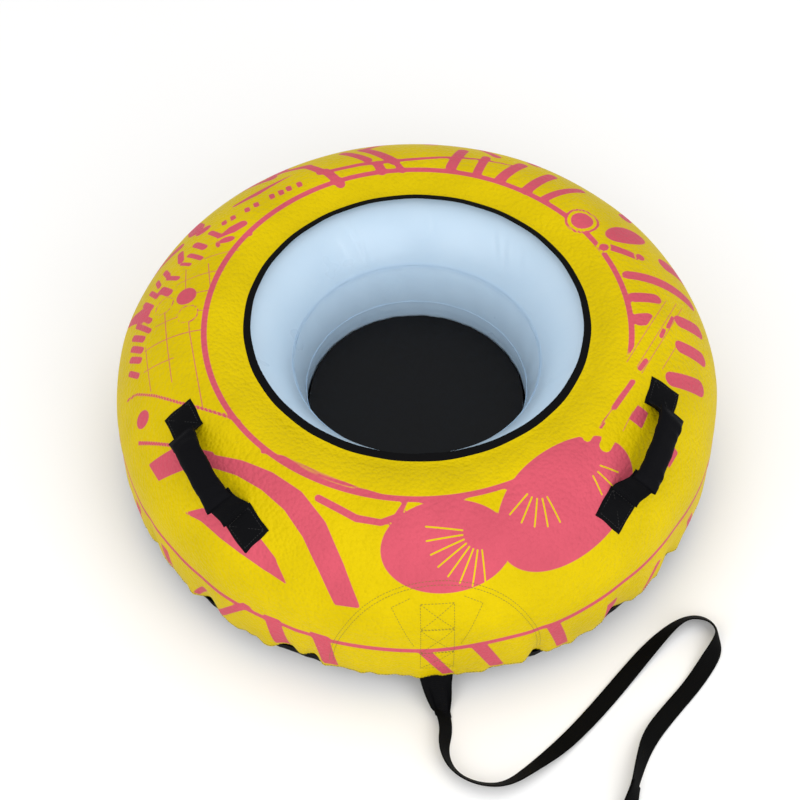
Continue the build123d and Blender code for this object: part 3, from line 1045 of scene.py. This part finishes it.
def markEdge(spots, mark):
    kind, _, *facts = mark
    if kind == "ring":
        centre, radius, half = facts
        return np.abs(np.hypot(*(spots - np.array(centre, float)).T) - radius) - half
    if kind == "oval":
        return ovalEdge(spots, *facts)
    if kind == "loop":
        centre, wide, tall, turn, half = facts
        return np.abs(ovalEdge(spots, centre, wide, tall, turn)) - half
    if kind == "shape":
        return polygonEdge(spots, list(facts[0]))
    line, widths = facts
    widths = widths if hasattr(widths, "__len__") else [widths] * len(line)
    return strokeEdge(spots, line, widths)


def printEdges(spots):
    edge = np.full(len(spots), 1e3)
    for mark in printMarks:
        here = markEdge(spots, mark)
        edge = np.minimum(edge, here) if mark[1] == "pink" else np.maximum(edge, -here)
    return edge


def makeTopCover():
    shape = coverShape
    cover, run, azimuth = wrapSheet(
        "topCover",
        shape["columns"],
        shape["rows"],
        shape["innerRows"],
        rimRun,
        hemRun,
        coverLift,
        shape["thickness"],
        rimLip,
    )
    spots = printSpot(run, azimuth)
    layer = cover.data.attributes.new("printEdge", "FLOAT", "POINT")
    layer.data.foreach_set("value", (printEdges(spots / mm) * mm).astype(np.float32))
    writeUv(cover, "print", spots)
    closeSeams(cover)
    replaced = ["top_cover", "hem_seam_tape"]
    finishPiece(cover, "tube", finishes["printed"], replaced, smooth=60)
    print("top cover", len(cover.data.polygons))


makeTopCover()


# bottom cover, binding, bladder and floor

underShape = {
    "columns": 480,
    "rows": 84,
    "innerRows": 20,
    "thickness": 0.9 * mm,
    "puff": 3.0 * mm,
    "flat": (0.362, 2.688),
    "area": 0.626,
}
bladderShape = {"columns": 360, "rows": 96, "innerRows": 96, "thickness": 0.8 * mm, "depth": 2.8 * mm}
bindingShape = {"width": 12.5 * mm, "above": 0.85 * mm, "below": 1.7 * mm, "columns": 480}
floorShape = {
    "radius": 157.6 * mm,
    "height": 123.0 * mm,
    "sag": 5.0 * mm,
    "thickness": 1.2 * mm,
    "flat": (0.3156, 0.3156),
    "area": 0.0782,
}
weldShape = {"half": 0.8 * mm, "depth": 1.9 * mm, "thickness": 1.2 * mm, "columns": 300}
weldLines = (  # name, outline angle and millimetres along from it
    ("upperWeldA", weldAngle, -2.4),
    ("upperWeldB", weldAngle, 2.4),
    ("lowerWeld", 172.5, 0),
)
valveHole = {"out": (0, 0.98565, 0.168802), "radius": 24.3 * mm}
creases = (  # azimuth, distance below the rim, length, slant and height of each crease in the film
    (112, 0.030, 0.040, 0.25, 1.5),
    (110, 0.055, 0.030, 0.10, 1.1),
    (117, 0.045, 0.028, 0.30, 0.8),
    (52, 0.030, 0.034, 0.70, 1.3),
    (46, 0.040, 0.030, 0.60, 1.1),
    (38, 0.036, 0.030, 0.80, 1.0),
    (80, 0.030, 0.026, 0.20, 0.8),
    (250, 0.030, 0.030, 0.30, 0.9),
    (300, 0.036, 0.034, -0.40, 1.0),
    (335, 0.040, 0.030, 0.30, 0.8),
)


def underLift(run, azimuth):
    below = np.abs(hemRun - run)
    near = np.exp(-((below / 0.030) ** 1.4))
    pinch = np.zeros_like(azimuth)
    for i, degrees in enumerate(hemPinches):
        side = gapTo(azimuth, degrees) * hemRadius
        pinch += np.exp(-((side / (coverShape["pinchWidth"] * (0.9 + 0.2 * (i * 7 % 4)))) ** 2))
    puff = np.exp(-(((below - 0.016) / 0.012) ** 2))
    small = ripple(azimuth, ((71, 0.9, 0.8), (113, 2.7, 0.6), (43, 4.1, 0.9))) * mm
    lift = underShape["puff"] * puff * (0.4 + 0.9 * np.minimum(1, pinch)) + small * np.exp(-below / 0.03)
    return np.maximum(lift - 4.5 * mm * np.minimum(1, pinch) * near - 1.2 * mm * near, -7 * mm)


def underRise(run, azimuth):
    # the flat base stays flat: nothing reaches below the ground
    low = np.exp(-((np.mod(run, fullRun) - runAt(270)) / 0.09) ** 2)
    return underLift(run, azimuth) * (1 - low)


def makeBottomCover():
    shape = underShape
    under, run, azimuth = wrapSheet(
        "bottomCover",
        shape["columns"],
        shape["rows"],
        shape["innerRows"],
        hemRun + 2 * mm,
        runAt(floorAngle - 360),
        underRise,
        shape["thickness"],
    )
    closeSeams(under)
    finishPiece(under, "tube", finishes["underside"], ["bottom_cover"], smooth=60)


def filmLift(run, azimuth):
    shape = bladderShape
    lift = np.full_like(azimuth, -shape["depth"])
    lift -= 8 * mm * np.exp(-(((run - hemRun) / 0.05) ** 2))
    down = run - rimRun
    for degrees, depth, length, slant, height in creases:
        side = gapTo(azimuth, degrees) * funnelRadius
        along = down - depth
        across = side + slant * along
        bump = np.exp(-((across / 0.0028) ** 2)) - 0.6 * np.exp(-(((across - 0.006) / 0.005) ** 2))
        lift += height * mm * bump * np.exp(-((along / (length * 0.6)) ** 2))
    lift += 0.5 * mm * np.sin(azimuth * 13 + 2) * np.exp(-((down - 0.02) / 0.03) ** 2)
    return lift


def plainFilm(run, azimuth):
    return np.full_like(azimuth, -bladderShape["depth"]) + 0.25 * mm * np.sin(azimuth * 21 + run * 50)


def baseLift(run, azimuth):
    return plainFilm(run, azimuth) - 6 * mm * np.exp(-(((run - hemRun - fullRun) / 0.05) ** 2))


def weldLift(run, azimuth):
    return np.full_like(azimuth, -weldShape["depth"])


def boreValveHole(panel):
    low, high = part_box("valve_base")
    centre = (low + high) / 2
    deselectAll()
    out = Vector(valveHole["out"])
    bpy.ops.mesh.primitive_cylinder_add(vertices=64, radius=valveHole["radius"], depth=0.03, location=centre)
    cutter = bpy.context.object
    cutter.rotation_euler = out.to_track_quat("Z", "Y").to_euler()
    hole = panel.modifiers.new("valveHole", "BOOLEAN")
    hole.operation = "DIFFERENCE"
    hole.object = cutter
    applyAll(panel)
    bpy.data.objects.remove(cutter)


def makeBladder():
    shape = bladderShape
    film = finishes["film"]
    outer, _, _ = wrapSheet(
        "bladderOuterPanel",
        shape["columns"],
        shape["rows"],
        shape["innerRows"],
        runAt(-35.0),
        runAt(weldAngle),
        filmLift,
        shape["thickness"],
    )
    closeSeams(outer)
    finishPiece(outer, "tube", film, ["bladder_outer_panel"], smooth=70)
    inner, _, _ = wrapSheet(
        "bladderInnerPanel",
        shape["columns"],
        24,
        24,
        runAt(weldAngle),
        runAt(creaseAngle),
        plainFilm,
        shape["thickness"],
    )
    closeSeams(inner)
    boreValveHole(inner)
    finishPiece(inner, "tube", film, ["bladder_inner_panel"], smooth=50)
    base, _, _ = wrapSheet(
        "bladderBasePanel",
        240,
        70,
        70,
        runAt(creaseAngle),
        runAt(325.0),
        baseLift,
        shape["thickness"],
    )
    closeSeams(base)
    finishPiece(base, "tube", film, ["bladder_base_panel"], smooth=70)
    for name, angle, gap in weldLines:
        middle = runAt(angle) + gap * mm
        low, high = middle - weldShape["half"], middle + weldShape["half"]
        weld, _, _ = wrapSheet(name, weldShape["columns"], 4, 2, low, high, weldLift, weldShape["thickness"])
        closeSeams(weld)
        finishPiece(weld, "tube", film, smooth=60)


def makeBinding():
    shape = bindingShape
    rows = 14

    def place(across, along):
        turn = along * 2 * math.pi
        side = 0.5 * shape["width"]
        up = np.sign(np.sin(turn)) * np.abs(np.sin(turn)) ** 0.45
        out = np.sign(np.cos(turn)) * np.abs(np.cos(turn)) ** 0.45
        azimuth = across * 2 * math.pi
        lap = 0.8 * mm / (1 + np.exp(-(gapTo(azimuth, -93.0) * mouthRadius) / 0.0006))
        lap *= 1 / (1 + np.exp((gapTo(azimuth, -86.5) * mouthRadius) / 0.0006))
        thick = (shape["above"] + shape["below"]) / 2
        lift = (shape["above"] - shape["below"]) / 2 + thick * up + np.where(up > 0, lap, 0)
        lift += 0.12 * mm * np.sin(azimuth * 150) * np.where(up > 0, 1, 0)
        run = rimRun - side + 0.6 * mm + side * out + 0.25 * mm * np.sin(azimuth * 23 + 1)
        return raised(ringPoint(run, azimuth, lift), run, rimLip)

    tape, across, along = addSheet("rimBinding", shape["columns"], rows, place)
    writeUv(tape, "tape", np.stack([across * 2 * math.pi * 0.25, along * 0.03], -1))
    closeSeams(tape)
    finishPiece(tape, "tube", finishes["binding"], ["rim_binding"], smooth=60)


def makeFloor():
    shape = floorShape
    rows = 30

    def place(across, along):
        row = along * rows
        half = rows / 2
        # each skin has a middle row of its own, so the two don't meet in a point
        inward = np.where(row < half + 0.5, row / half, (rows - row) / (half - 1))
        reach = shape["radius"] * (1 - inward) + 1e-6
        azimuth = across * 2 * math.pi
        dish = shape["sag"] * (1 - (reach / shape["radius"]) ** 2) ** 2
        near = np.exp(-(((shape["radius"] - reach) / 0.014) ** 2))
        wave = near * (0.7 * mm * (1 + np.sin(azimuth * 26 + 1.5)) + 0.4 * mm * (1 + np.sin(azimuth * 41)))
        under = (row > half + 0.5) & (row < rows - 0.001)  # the last row meets the first, which closes the edge
        z = shape["height"] - dish + wave - np.where(under, shape["thickness"], 0)
        return np.stack([reach * np.cos(azimuth), reach * np.sin(azimuth), z], -1)

    floor, _, _ = addSheet("floorPanel", 144, rows, place)
    closeSeams(floor)
    finishPiece(floor, "tube", finishes["floor"], ["floor_panel"], smooth=60)


makeBottomCover()
makeBladder()
makeBinding()
makeFloor()
print("bottom cover, bladder, binding and floor made")

# handles

gripShape = {
    "half": 59 * mm,
    "wide": 18.5 * mm,
    "tall": 8.2 * mm,
    "middle": 44.4 * mm,
    "droop": 4.5 * mm,
    "patchLong": 47 * mm,
    "patchWide": 50 * mm,
    "patchThick": 1.7 * mm,
}
handlePlan = {"left": {"sign": -1, "lean": 8.0}, "right": {"sign": 1, "lean": 0.0}}
rearSpot, frontSpot = (61.0, 66.5), (42.0, 39.2)


def crownPoint(angle, azimuth):
    return ringPoint(runAt(angle), math.radians(azimuth))


def crownNormal(angle, azimuth):
    run = runAt(angle)
    return unit(ringPoint(run, math.radians(azimuth), 0.001) - ringPoint(run, math.radians(azimuth)))


class handleFrame:
    def __init__(self, side):
        plan = handlePlan[side]
        sign = plan["sign"]
        rear = crownPoint(rearSpot[0], -90 + sign * rearSpot[1])
        front = crownPoint(frontSpot[0], -90 + sign * frontSpot[1])
        self.side, self.sign = side, sign
        self.half = np.linalg.norm(front - rear) / 2
        self.x = unit(front - rear)
        self.middle = (front + rear) / 2
        azimuth = math.degrees(math.atan2(self.middle[1], self.middle[0]))
        up = crownNormal((rearSpot[0] + frontSpot[0]) / 2, azimuth)
        up = unit(up - self.x * (up @ self.x))
        self.z = np.array(Matrix.Rotation(math.radians(sign * plan["lean"]), 3, Vector(self.x)) @ Vector(up))
        self.y = np.cross(self.z, self.x)

    def world(self, x, y, z):
        x, y, z = np.broadcast_arrays(np.asarray(x, float), y, z)
        return self.middle + x[..., None] * self.x + y[..., None] * self.y + z[..., None] * self.z

    def crown(self, x, y):
        # height of the cover above the line between the two sewn ends
        x, y = np.broadcast_arrays(np.asarray(x, float), np.asarray(y, float))
        low, high = np.full(x.shape, -0.05), np.full(x.shape, 0.05)
        centre, height, wide, tall, power = quarters[0]
        for _ in range(30):
            guess = (low + high) / 2
            p = self.world(x, y, guess)
            r, z = np.hypot(p[..., 0], p[..., 1]) / mm, p[..., 2] / mm
            level = (np.abs(r - centre) / wide) ** power + (np.abs(z - height) / tall) ** power
            inside = level < 1
            low, high = np.where(inside, guess, low), np.where(inside, high, guess)
        return (low + high) / 2


def makePatch(frameOf, end):
    # a sewn webbing end, lying on the cover
    shape = gripShape
    sign = 1 if end == "front" else -1
    middle = sign * frameOf.half
    rows, columns = 26, 26

    def place(u, v):
        row = v * 2 * rows
        across = np.where(row <= rows, row / rows, 2 - row / rows) - 0.5
        below = (row > rows + 0.001) & (row < 2 * rows - 0.001)
        x = middle + (u - 0.5) * shape["patchLong"] + 0.5 * mm * np.sin(across * 9)
        y = across * shape["patchWide"] + 0.5 * mm * np.sin(u * 7 + sign)
        fromEnd = np.minimum(u, 1 - u) * shape["patchLong"]
        fromSide = np.minimum(across + 0.5, 0.5 - across) * shape["patchWide"]
        edge = np.minimum(fromEnd, fromSide)
        round_ = np.clip(edge / (1.4 * mm), 0, 1)
        seam = np.exp(-(((edge - 5 * mm) / (1.1 * mm)) ** 2)) * 0.45 * mm
        lift = 0.5 * mm + shape["patchThick"] * np.sqrt(np.clip(1 - (1 - round_) ** 2, 0, 1)) - seam
        lift += 0.35 * mm * np.sin(u * 5 + across * 6) * round_
        lift = np.where(below, 0.3 * mm, lift)
        return frameOf.world(x, y, frameOf.crown(x, y) + lift)

    patch, u, v = addSheet(f"{frameOf.side}{end.capitalize()}Patch", columns, 2 * rows, place)
    writeUv(patch, "tape", np.stack([u * shape["patchLong"], np.abs(v - 0.5) * 2 * shape["patchWide"]], -1))
    closeSeams(patch)
    replaced = [f"{frameOf.side}_{end}_patch"]
    finishPiece(patch, "tube", finishes["webbing"], replaced, smooth=60)


def makeLead(frameOf, end):
    # the webbing rises from its sewn end into the sleeve
    sign = 1 if end == "front" else -1
    shape = gripShape
    foot = frameOf.half - shape["patchLong"] / 2
    height = float(frameOf.crown(sign * foot, 0.0))
    side = (
        (foot + 5 * mm, height + 3 * mm),
        (foot - 1 * mm, height + 4 * mm),
        (foot - 5 * mm, height + 10 * mm),
        (foot - 9 * mm, 26 * mm),
        (foot - 15 * mm, 36.5 * mm),
        (foot - 24 * mm, 38.5 * mm),
    )
    controls = [tuple(frameOf.world(sign * x, 0.0, z)) for x, z in side]
    line = smoothLine(controls, 10)
    t = np.linspace(0, 1, len(line))
    widths = (50 - 8 * np.clip(t * 1.4, 0, 1)) * mm
    across = np.tile(frameOf.y, (len(line), 1))

    def wave(i, s):
        return 1.3 * mm * np.sin(s * 4 + sign) * np.sin(np.pi * t[i])

    lead = addRibbon(f"{frameOf.side}{end.capitalize()}Lead", line, across, widths, 2.0 * mm, wave, sides=40)
    finishPiece(lead, None, finishes["webbing"], smooth=50)
    start = frameOf.world(sign * (foot + 2 * mm), 0.0, height + 2 * mm)
    stop = frameOf.world(sign * (foot - 12 * mm), 0.0, 34 * mm)
    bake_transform(lead)


def makeSleeve(frameOf):
    # a padded cloth tube round the foam and the webbing
    shape = gripShape
    columns, sides = 90, 56

    def place(u, v):
        x = (u - 0.5) * 2 * shape["half"]
        turn = v * 2 * math.pi
        arch = 1 - (x / shape["half"]) ** 2
        mouth = np.exp(-(((1 - np.abs(2 * u - 1)) / 0.10) ** 2))
        wide = shape["wide"] + 3.4 * mm * (1 - arch) ** 2
        tall = shape["tall"] * (1 - 0.45 * mouth)
        y = wide * np.sign(np.cos(turn)) * np.abs(np.cos(turn)) ** 0.62
        z = tall * np.sign(np.sin(turn)) * np.abs(np.sin(turn)) ** 0.8
        folds = np.sin(x * 330 + 3 * np.sin(turn) + frameOf.sign)
        folds = folds * np.exp(-(((np.abs(x) - 0.040) / 0.014) ** 2))
        z = z + 0.7 * mm * folds * (1 + np.sin(turn * 2)) + 0.4 * mm * np.sin(x * 160 + turn)
        y = y + 0.5 * mm * np.sin(x * 160 + 2) + 0.12 * mm * np.sin(x * 500 + turn)
        centre = shape["middle"] - shape["droop"] * (1 - arch) ** 1.2
        side = 2.0 * mm * np.sin(x * 22 + 0.6) * frameOf.sign
        return frameOf.world(x, y + side, centre + z)

    sleeve, u, v = addSheet(f"{frameOf.side}Sleeve", columns, sides, place)
    writeUv(sleeve, "tape", np.stack([u * 2 * shape["half"], v * 0.11], -1))
    pick(sleeve)
    ends = bmesh.new()
    ends.from_mesh(sleeve.data)
    bmesh.ops.remove_doubles(ends, verts=ends.verts, dist=0.00002)
    rims = [e for e in ends.edges if e.is_boundary]
    made = bmesh.ops.extrude_edge_only(ends, edges=rims)
    tips = [g for g in made["geom"] if isinstance(g, bmesh.types.BMVert)]
    axis = shape["middle"] - shape["droop"]
    for tip in tips:
        local = np.array(tip.co[:]) - frameOf.middle
        x = local @ frameOf.x
        drawnIn = axis + (local @ frameOf.z - axis) * 0.55
        tip.co = Vector(frameOf.world(x * 0.94, (local @ frameOf.y) * 0.9, drawnIn))
    capEnds(ends, sleeve)
    side = frameOf.side
    finishPiece(
        sleeve,
        f"{side}_handle",
        finishes["sleeve"],
        [f"{side}_handle_sleeve", f"{side}_handle_foam", f"{side}_handle_webbing"],
        smooth=60,
    )


for side in handlePlan:
    frameOf = handleFrame(side)
    for end in ("rear", "front"):
        makePatch(frameOf, end)
        makeLead(frameOf, end)
    makeSleeve(frameOf)
print("handles made")

# tow point inside the cover


liningShape = {
    "towPanel": {
        "halfWide": 145 * mm,
        "low": -38.5,
        "high": 44.0,
        "depth": 1.1 * mm,
        "thickness": 0.4 * mm,
        "finish": "underside",
        "slot": "lining_nylon",
        "node": "tow_panel",
        "flat": (0.29, 0.219),
        "area": 0.051,
    },
    "towWebbing": {
        "halfWide": 25 * mm,
        "low": -38.8,
        "high": 24.0,
        "depth": 1.7 * mm,
        "thickness": 0.7 * mm,
        "finish": "webbing",
        "slot": "black_webbing",
        "node": "tow_webbing",
    },
}


def makeLining(name):
    # a flat piece sewn behind the cover, following its folds
    shape = liningShape[name]
    low, high = runAt(shape["low"]), runAt(shape["high"])
    rows = columns = 24

    def place(u, v):
        total = 2 * rows
        row = v * total
        up = np.where(row <= rows, row / rows, 2 - row / rows)
        below = (row > rows + 0.001) & (row < total - 0.001) & (u > 0.001) & (u < 0.999)
        azimuth = math.radians(-90) + (u - 0.5) * 2 * shape["halfWide"] / 0.44 * shapeWide(up)
        run = low + (high - low) * up
        back = shape["depth"] + np.where(below, shape["thickness"], 0)
        return ringPoint(run, azimuth, coverLift(run, azimuth) - back)

    def shapeWide(up):
        return np.sqrt(np.clip(1 - np.clip(up, 0, 1) ** 2.6, 0.002, 1)) if name == "towPanel" else 1.0

    piece, u, v = addSheet(name, columns, 2 * rows, place)
    writeUv(piece, "tape", np.stack([v * (high - low), u * 2 * shape["halfWide"]], -1))
    closeSeams(piece)
    finishPiece(piece, "tube", finishes[shape["finish"]], [shape["node"]], smooth=60)


for name in liningShape:
    makeLining(name)

# stitching

stitchShape = {"pitch": 4.6 * mm, "long": 3.0 * mm, "wide": 0.42 * mm, "high": 0.3 * mm}


def stitchForm():
    # one thread bump, modelled once and repeated along every seam
    deselectAll()
    bpy.ops.mesh.primitive_cylinder_add(vertices=6, radius=1, depth=2, location=(0, 0, 0))
    bump = bpy.context.object
    pick(bump)
    bpy.ops.object.mode_set(mode="EDIT")
    bpy.ops.mesh.select_all(action="SELECT")
    bpy.ops.mesh.bevel(offset=0.4, segments=1)
    bpy.ops.object.mode_set(mode="OBJECT")
    spots = np.array([v.co[:] for v in bump.data.vertices])
    faces = [tuple(f.vertices) for f in bump.data.polygons]
    bpy.data.objects.remove(bump)
    return spots, faces


stitchSpots, stitchFaces = stitchForm()


def addStitches(name, body, seams, outward, finish):
    # seams are lines on the cloth, and outward gives the cloth's direction at a point
    shape = stitchShape
    spots, faces = [], []
    for line in seams:
        line = np.asarray(line)
        run = lengthAlong(line)
        count = max(2, int(run[-1] / shape["pitch"]))
        at = (np.arange(count) + 0.5) * run[-1] / count
        middle = np.stack([np.interp(at, run, line[:, i]) for i in range(3)], -1)
        ahead = unit(np.stack([np.interp(at + 1e-3, run, line[:, i]) for i in range(3)], -1) - middle + 1e-9)
        up = unit(outward(middle))
        side = unit(np.cross(ahead, up))
        for centre, along, across, lift in zip(middle, ahead, side, up):
            first = len(spots) * len(stitchSpots)
            local = stitchSpots * [shape["wide"], shape["high"], shape["long"] / 2]
            spots.append(centre + local[:, :1] * across + local[:, 1:2] * lift + local[:, 2:] * along)
            faces += [tuple(first + k for k in face) for face in stitchFaces]
    mesh = bpy.data.meshes.new(name)
    mesh.from_pydata(np.concatenate(spots).tolist(), [], faces)
    item = bpy.data.objects.new(name, mesh)
    bpy.context.scene.collection.objects.link(item)
    pick(item)
    bpy.ops.object.mode_set(mode="EDIT")
    bpy.ops.mesh.select_all(action="SELECT")
    bpy.ops.mesh.normals_make_consistent(inside=False)
    bpy.ops.object.mode_set(mode="OBJECT")
    finishPiece(item, body, finishes[finish], smooth=50)


def clothLine(corners, step=2 * mm):
    # a seam over the cover through corners given as outline angle and millimetres to the right
    corners = [(runAt(angle), aside * mm) for angle, aside in corners]
    line = []
    for (run1, side1), (run2, side2) in zip(corners, corners[1:]):
        count = max(2, int(math.hypot(run2 - run1, side2 - side1) / step))
        t = np.linspace(0, 1, count)
        line.append(np.stack([run1 + (run2 - run1) * t, side1 + (side2 - side1) * t], -1))
    line = np.concatenate(line)
    flat = ringPoint(line[:, 0], np.full(len(line), math.radians(-90)), 0)
    azimuth = math.radians(-90) + line[:, 1] / np.hypot(flat[:, 0], flat[:, 1])
    return ringPoint(line[:, 0], azimuth, coverLift(line[:, 0], azimuth) + 0.15 * mm)


def ringOutward(spots):
    centre = np.array([0, 0, 0.13])
    level = spots * [1, 1, 0]
    return spots - (unit(level) * 0.3 + centre)


def boxAndCross(top, low, half):
    return [
        clothLine(((top, -half), (top, half), (low, half), (low, -half), (top, -half))),
        clothLine(((top, -half), (low, half))),
        clothLine(((top, half), (low, -half))),
    ]


def makeTowSeams():
    seams = boxAndCross(24.5, 8, 23) + boxAndCross(7.5, -12, 23) + boxAndCross(-12.5, -27, 23)
    for rise, reach in ((38, 150), (35.5, 145)):
        turns = np.radians(np.linspace(-90, 90, 31))
        base = -30
        seams.append(clothLine([(base + (rise - base) * math.cos(t), reach * math.sin(t)) for t in turns]))
    for sign in (-1, 1):
        seams.append(clothLine(((28, sign * 36), (22, sign * 62), (-6, sign * 32))))
    addStitches("towStitches", "tube", seams, ringOutward, "thread")


def makeHemSeam():
    azimuth = np.linspace(0, 2 * math.pi, 1400)
    run = np.full(1400, hemRun + 3.2 * mm)
    line = ringPoint(run, azimuth, coverLift(run, azimuth) + 0.1 * mm)
    addStitches("hemStitches", "tube", [line], ringOutward, "darkThread")


def makePatchSeams():
    shape = gripShape
    half, wide = shape["patchLong"] / 2 - 5 * mm, shape["patchWide"] / 2 - 5 * mm
    for side in handlePlan:
        frameOf = handleFrame(side)
        seams = []
        for sign in (-1, 1):
            middle = sign * frameOf.half
            loops = [[(-half, -wide), (half, -wide), (half, wide), (-half, wide), (-half, -wide)]]
            loops += [[(-half, -wide), (half, wide)], [(-half, wide), (half, -wide)]]
            for loop in loops:
                spots = []
                for (x1, y1), (x2, y2) in zip(loop, loop[1:]):
                    t = np.linspace(0, 1, 24)
                    spots.append(np.stack([middle + x1 + (x2 - x1) * t, y1 + (y2 - y1) * t], -1))
                spots = np.concatenate(spots)
                lift = frameOf.crown(spots[:, 0], spots[:, 1]) + 2.05 * mm
                seams.append(frameOf.world(spots[:, 0], spots[:, 1], lift))
        name = f"{side}PatchStitches"
        addStitches(name, "tube", seams, ringOutward, "darkThread")


makeTowSeams()
makeHemSeam()
makePatchSeams()
print("stitching made")

# carried-over nodes

for name, finish in (
    ("floor_seam_tape", "film"),
    ("valve_base", "valve"),
    ("valve_insert", "valve"),
    ("valve_tether", "valve"),
    ("valve_cap", "valve"),
    ("valve_gasket", "rubber"),
    ("valve_membrane", "rubber"),
    ("left_front_backing", "underside"),
    ("left_rear_backing", "underside"),
    ("right_front_backing", "underside"),
    ("right_rear_backing", "underside"),
):
    nodes[name].data.materials.clear()
    nodes[name].data.materials.append(finishes[finish])

# stage


def addGround():
    deselectAll()
    bpy.ops.mesh.primitive_plane_add(size=14, location=(0, 0, -0.0006))
    ground = bpy.context.object
    ground.name = "ground"
    material, tree, shader = newMaterial("paleGround")
    shader.inputs["Base Color"].default_value = (0.9, 0.9, 0.9, 1)
    shader.inputs["Roughness"].default_value = 0.9
    ground.data.materials.append(material)


addGround()
print("stage set")
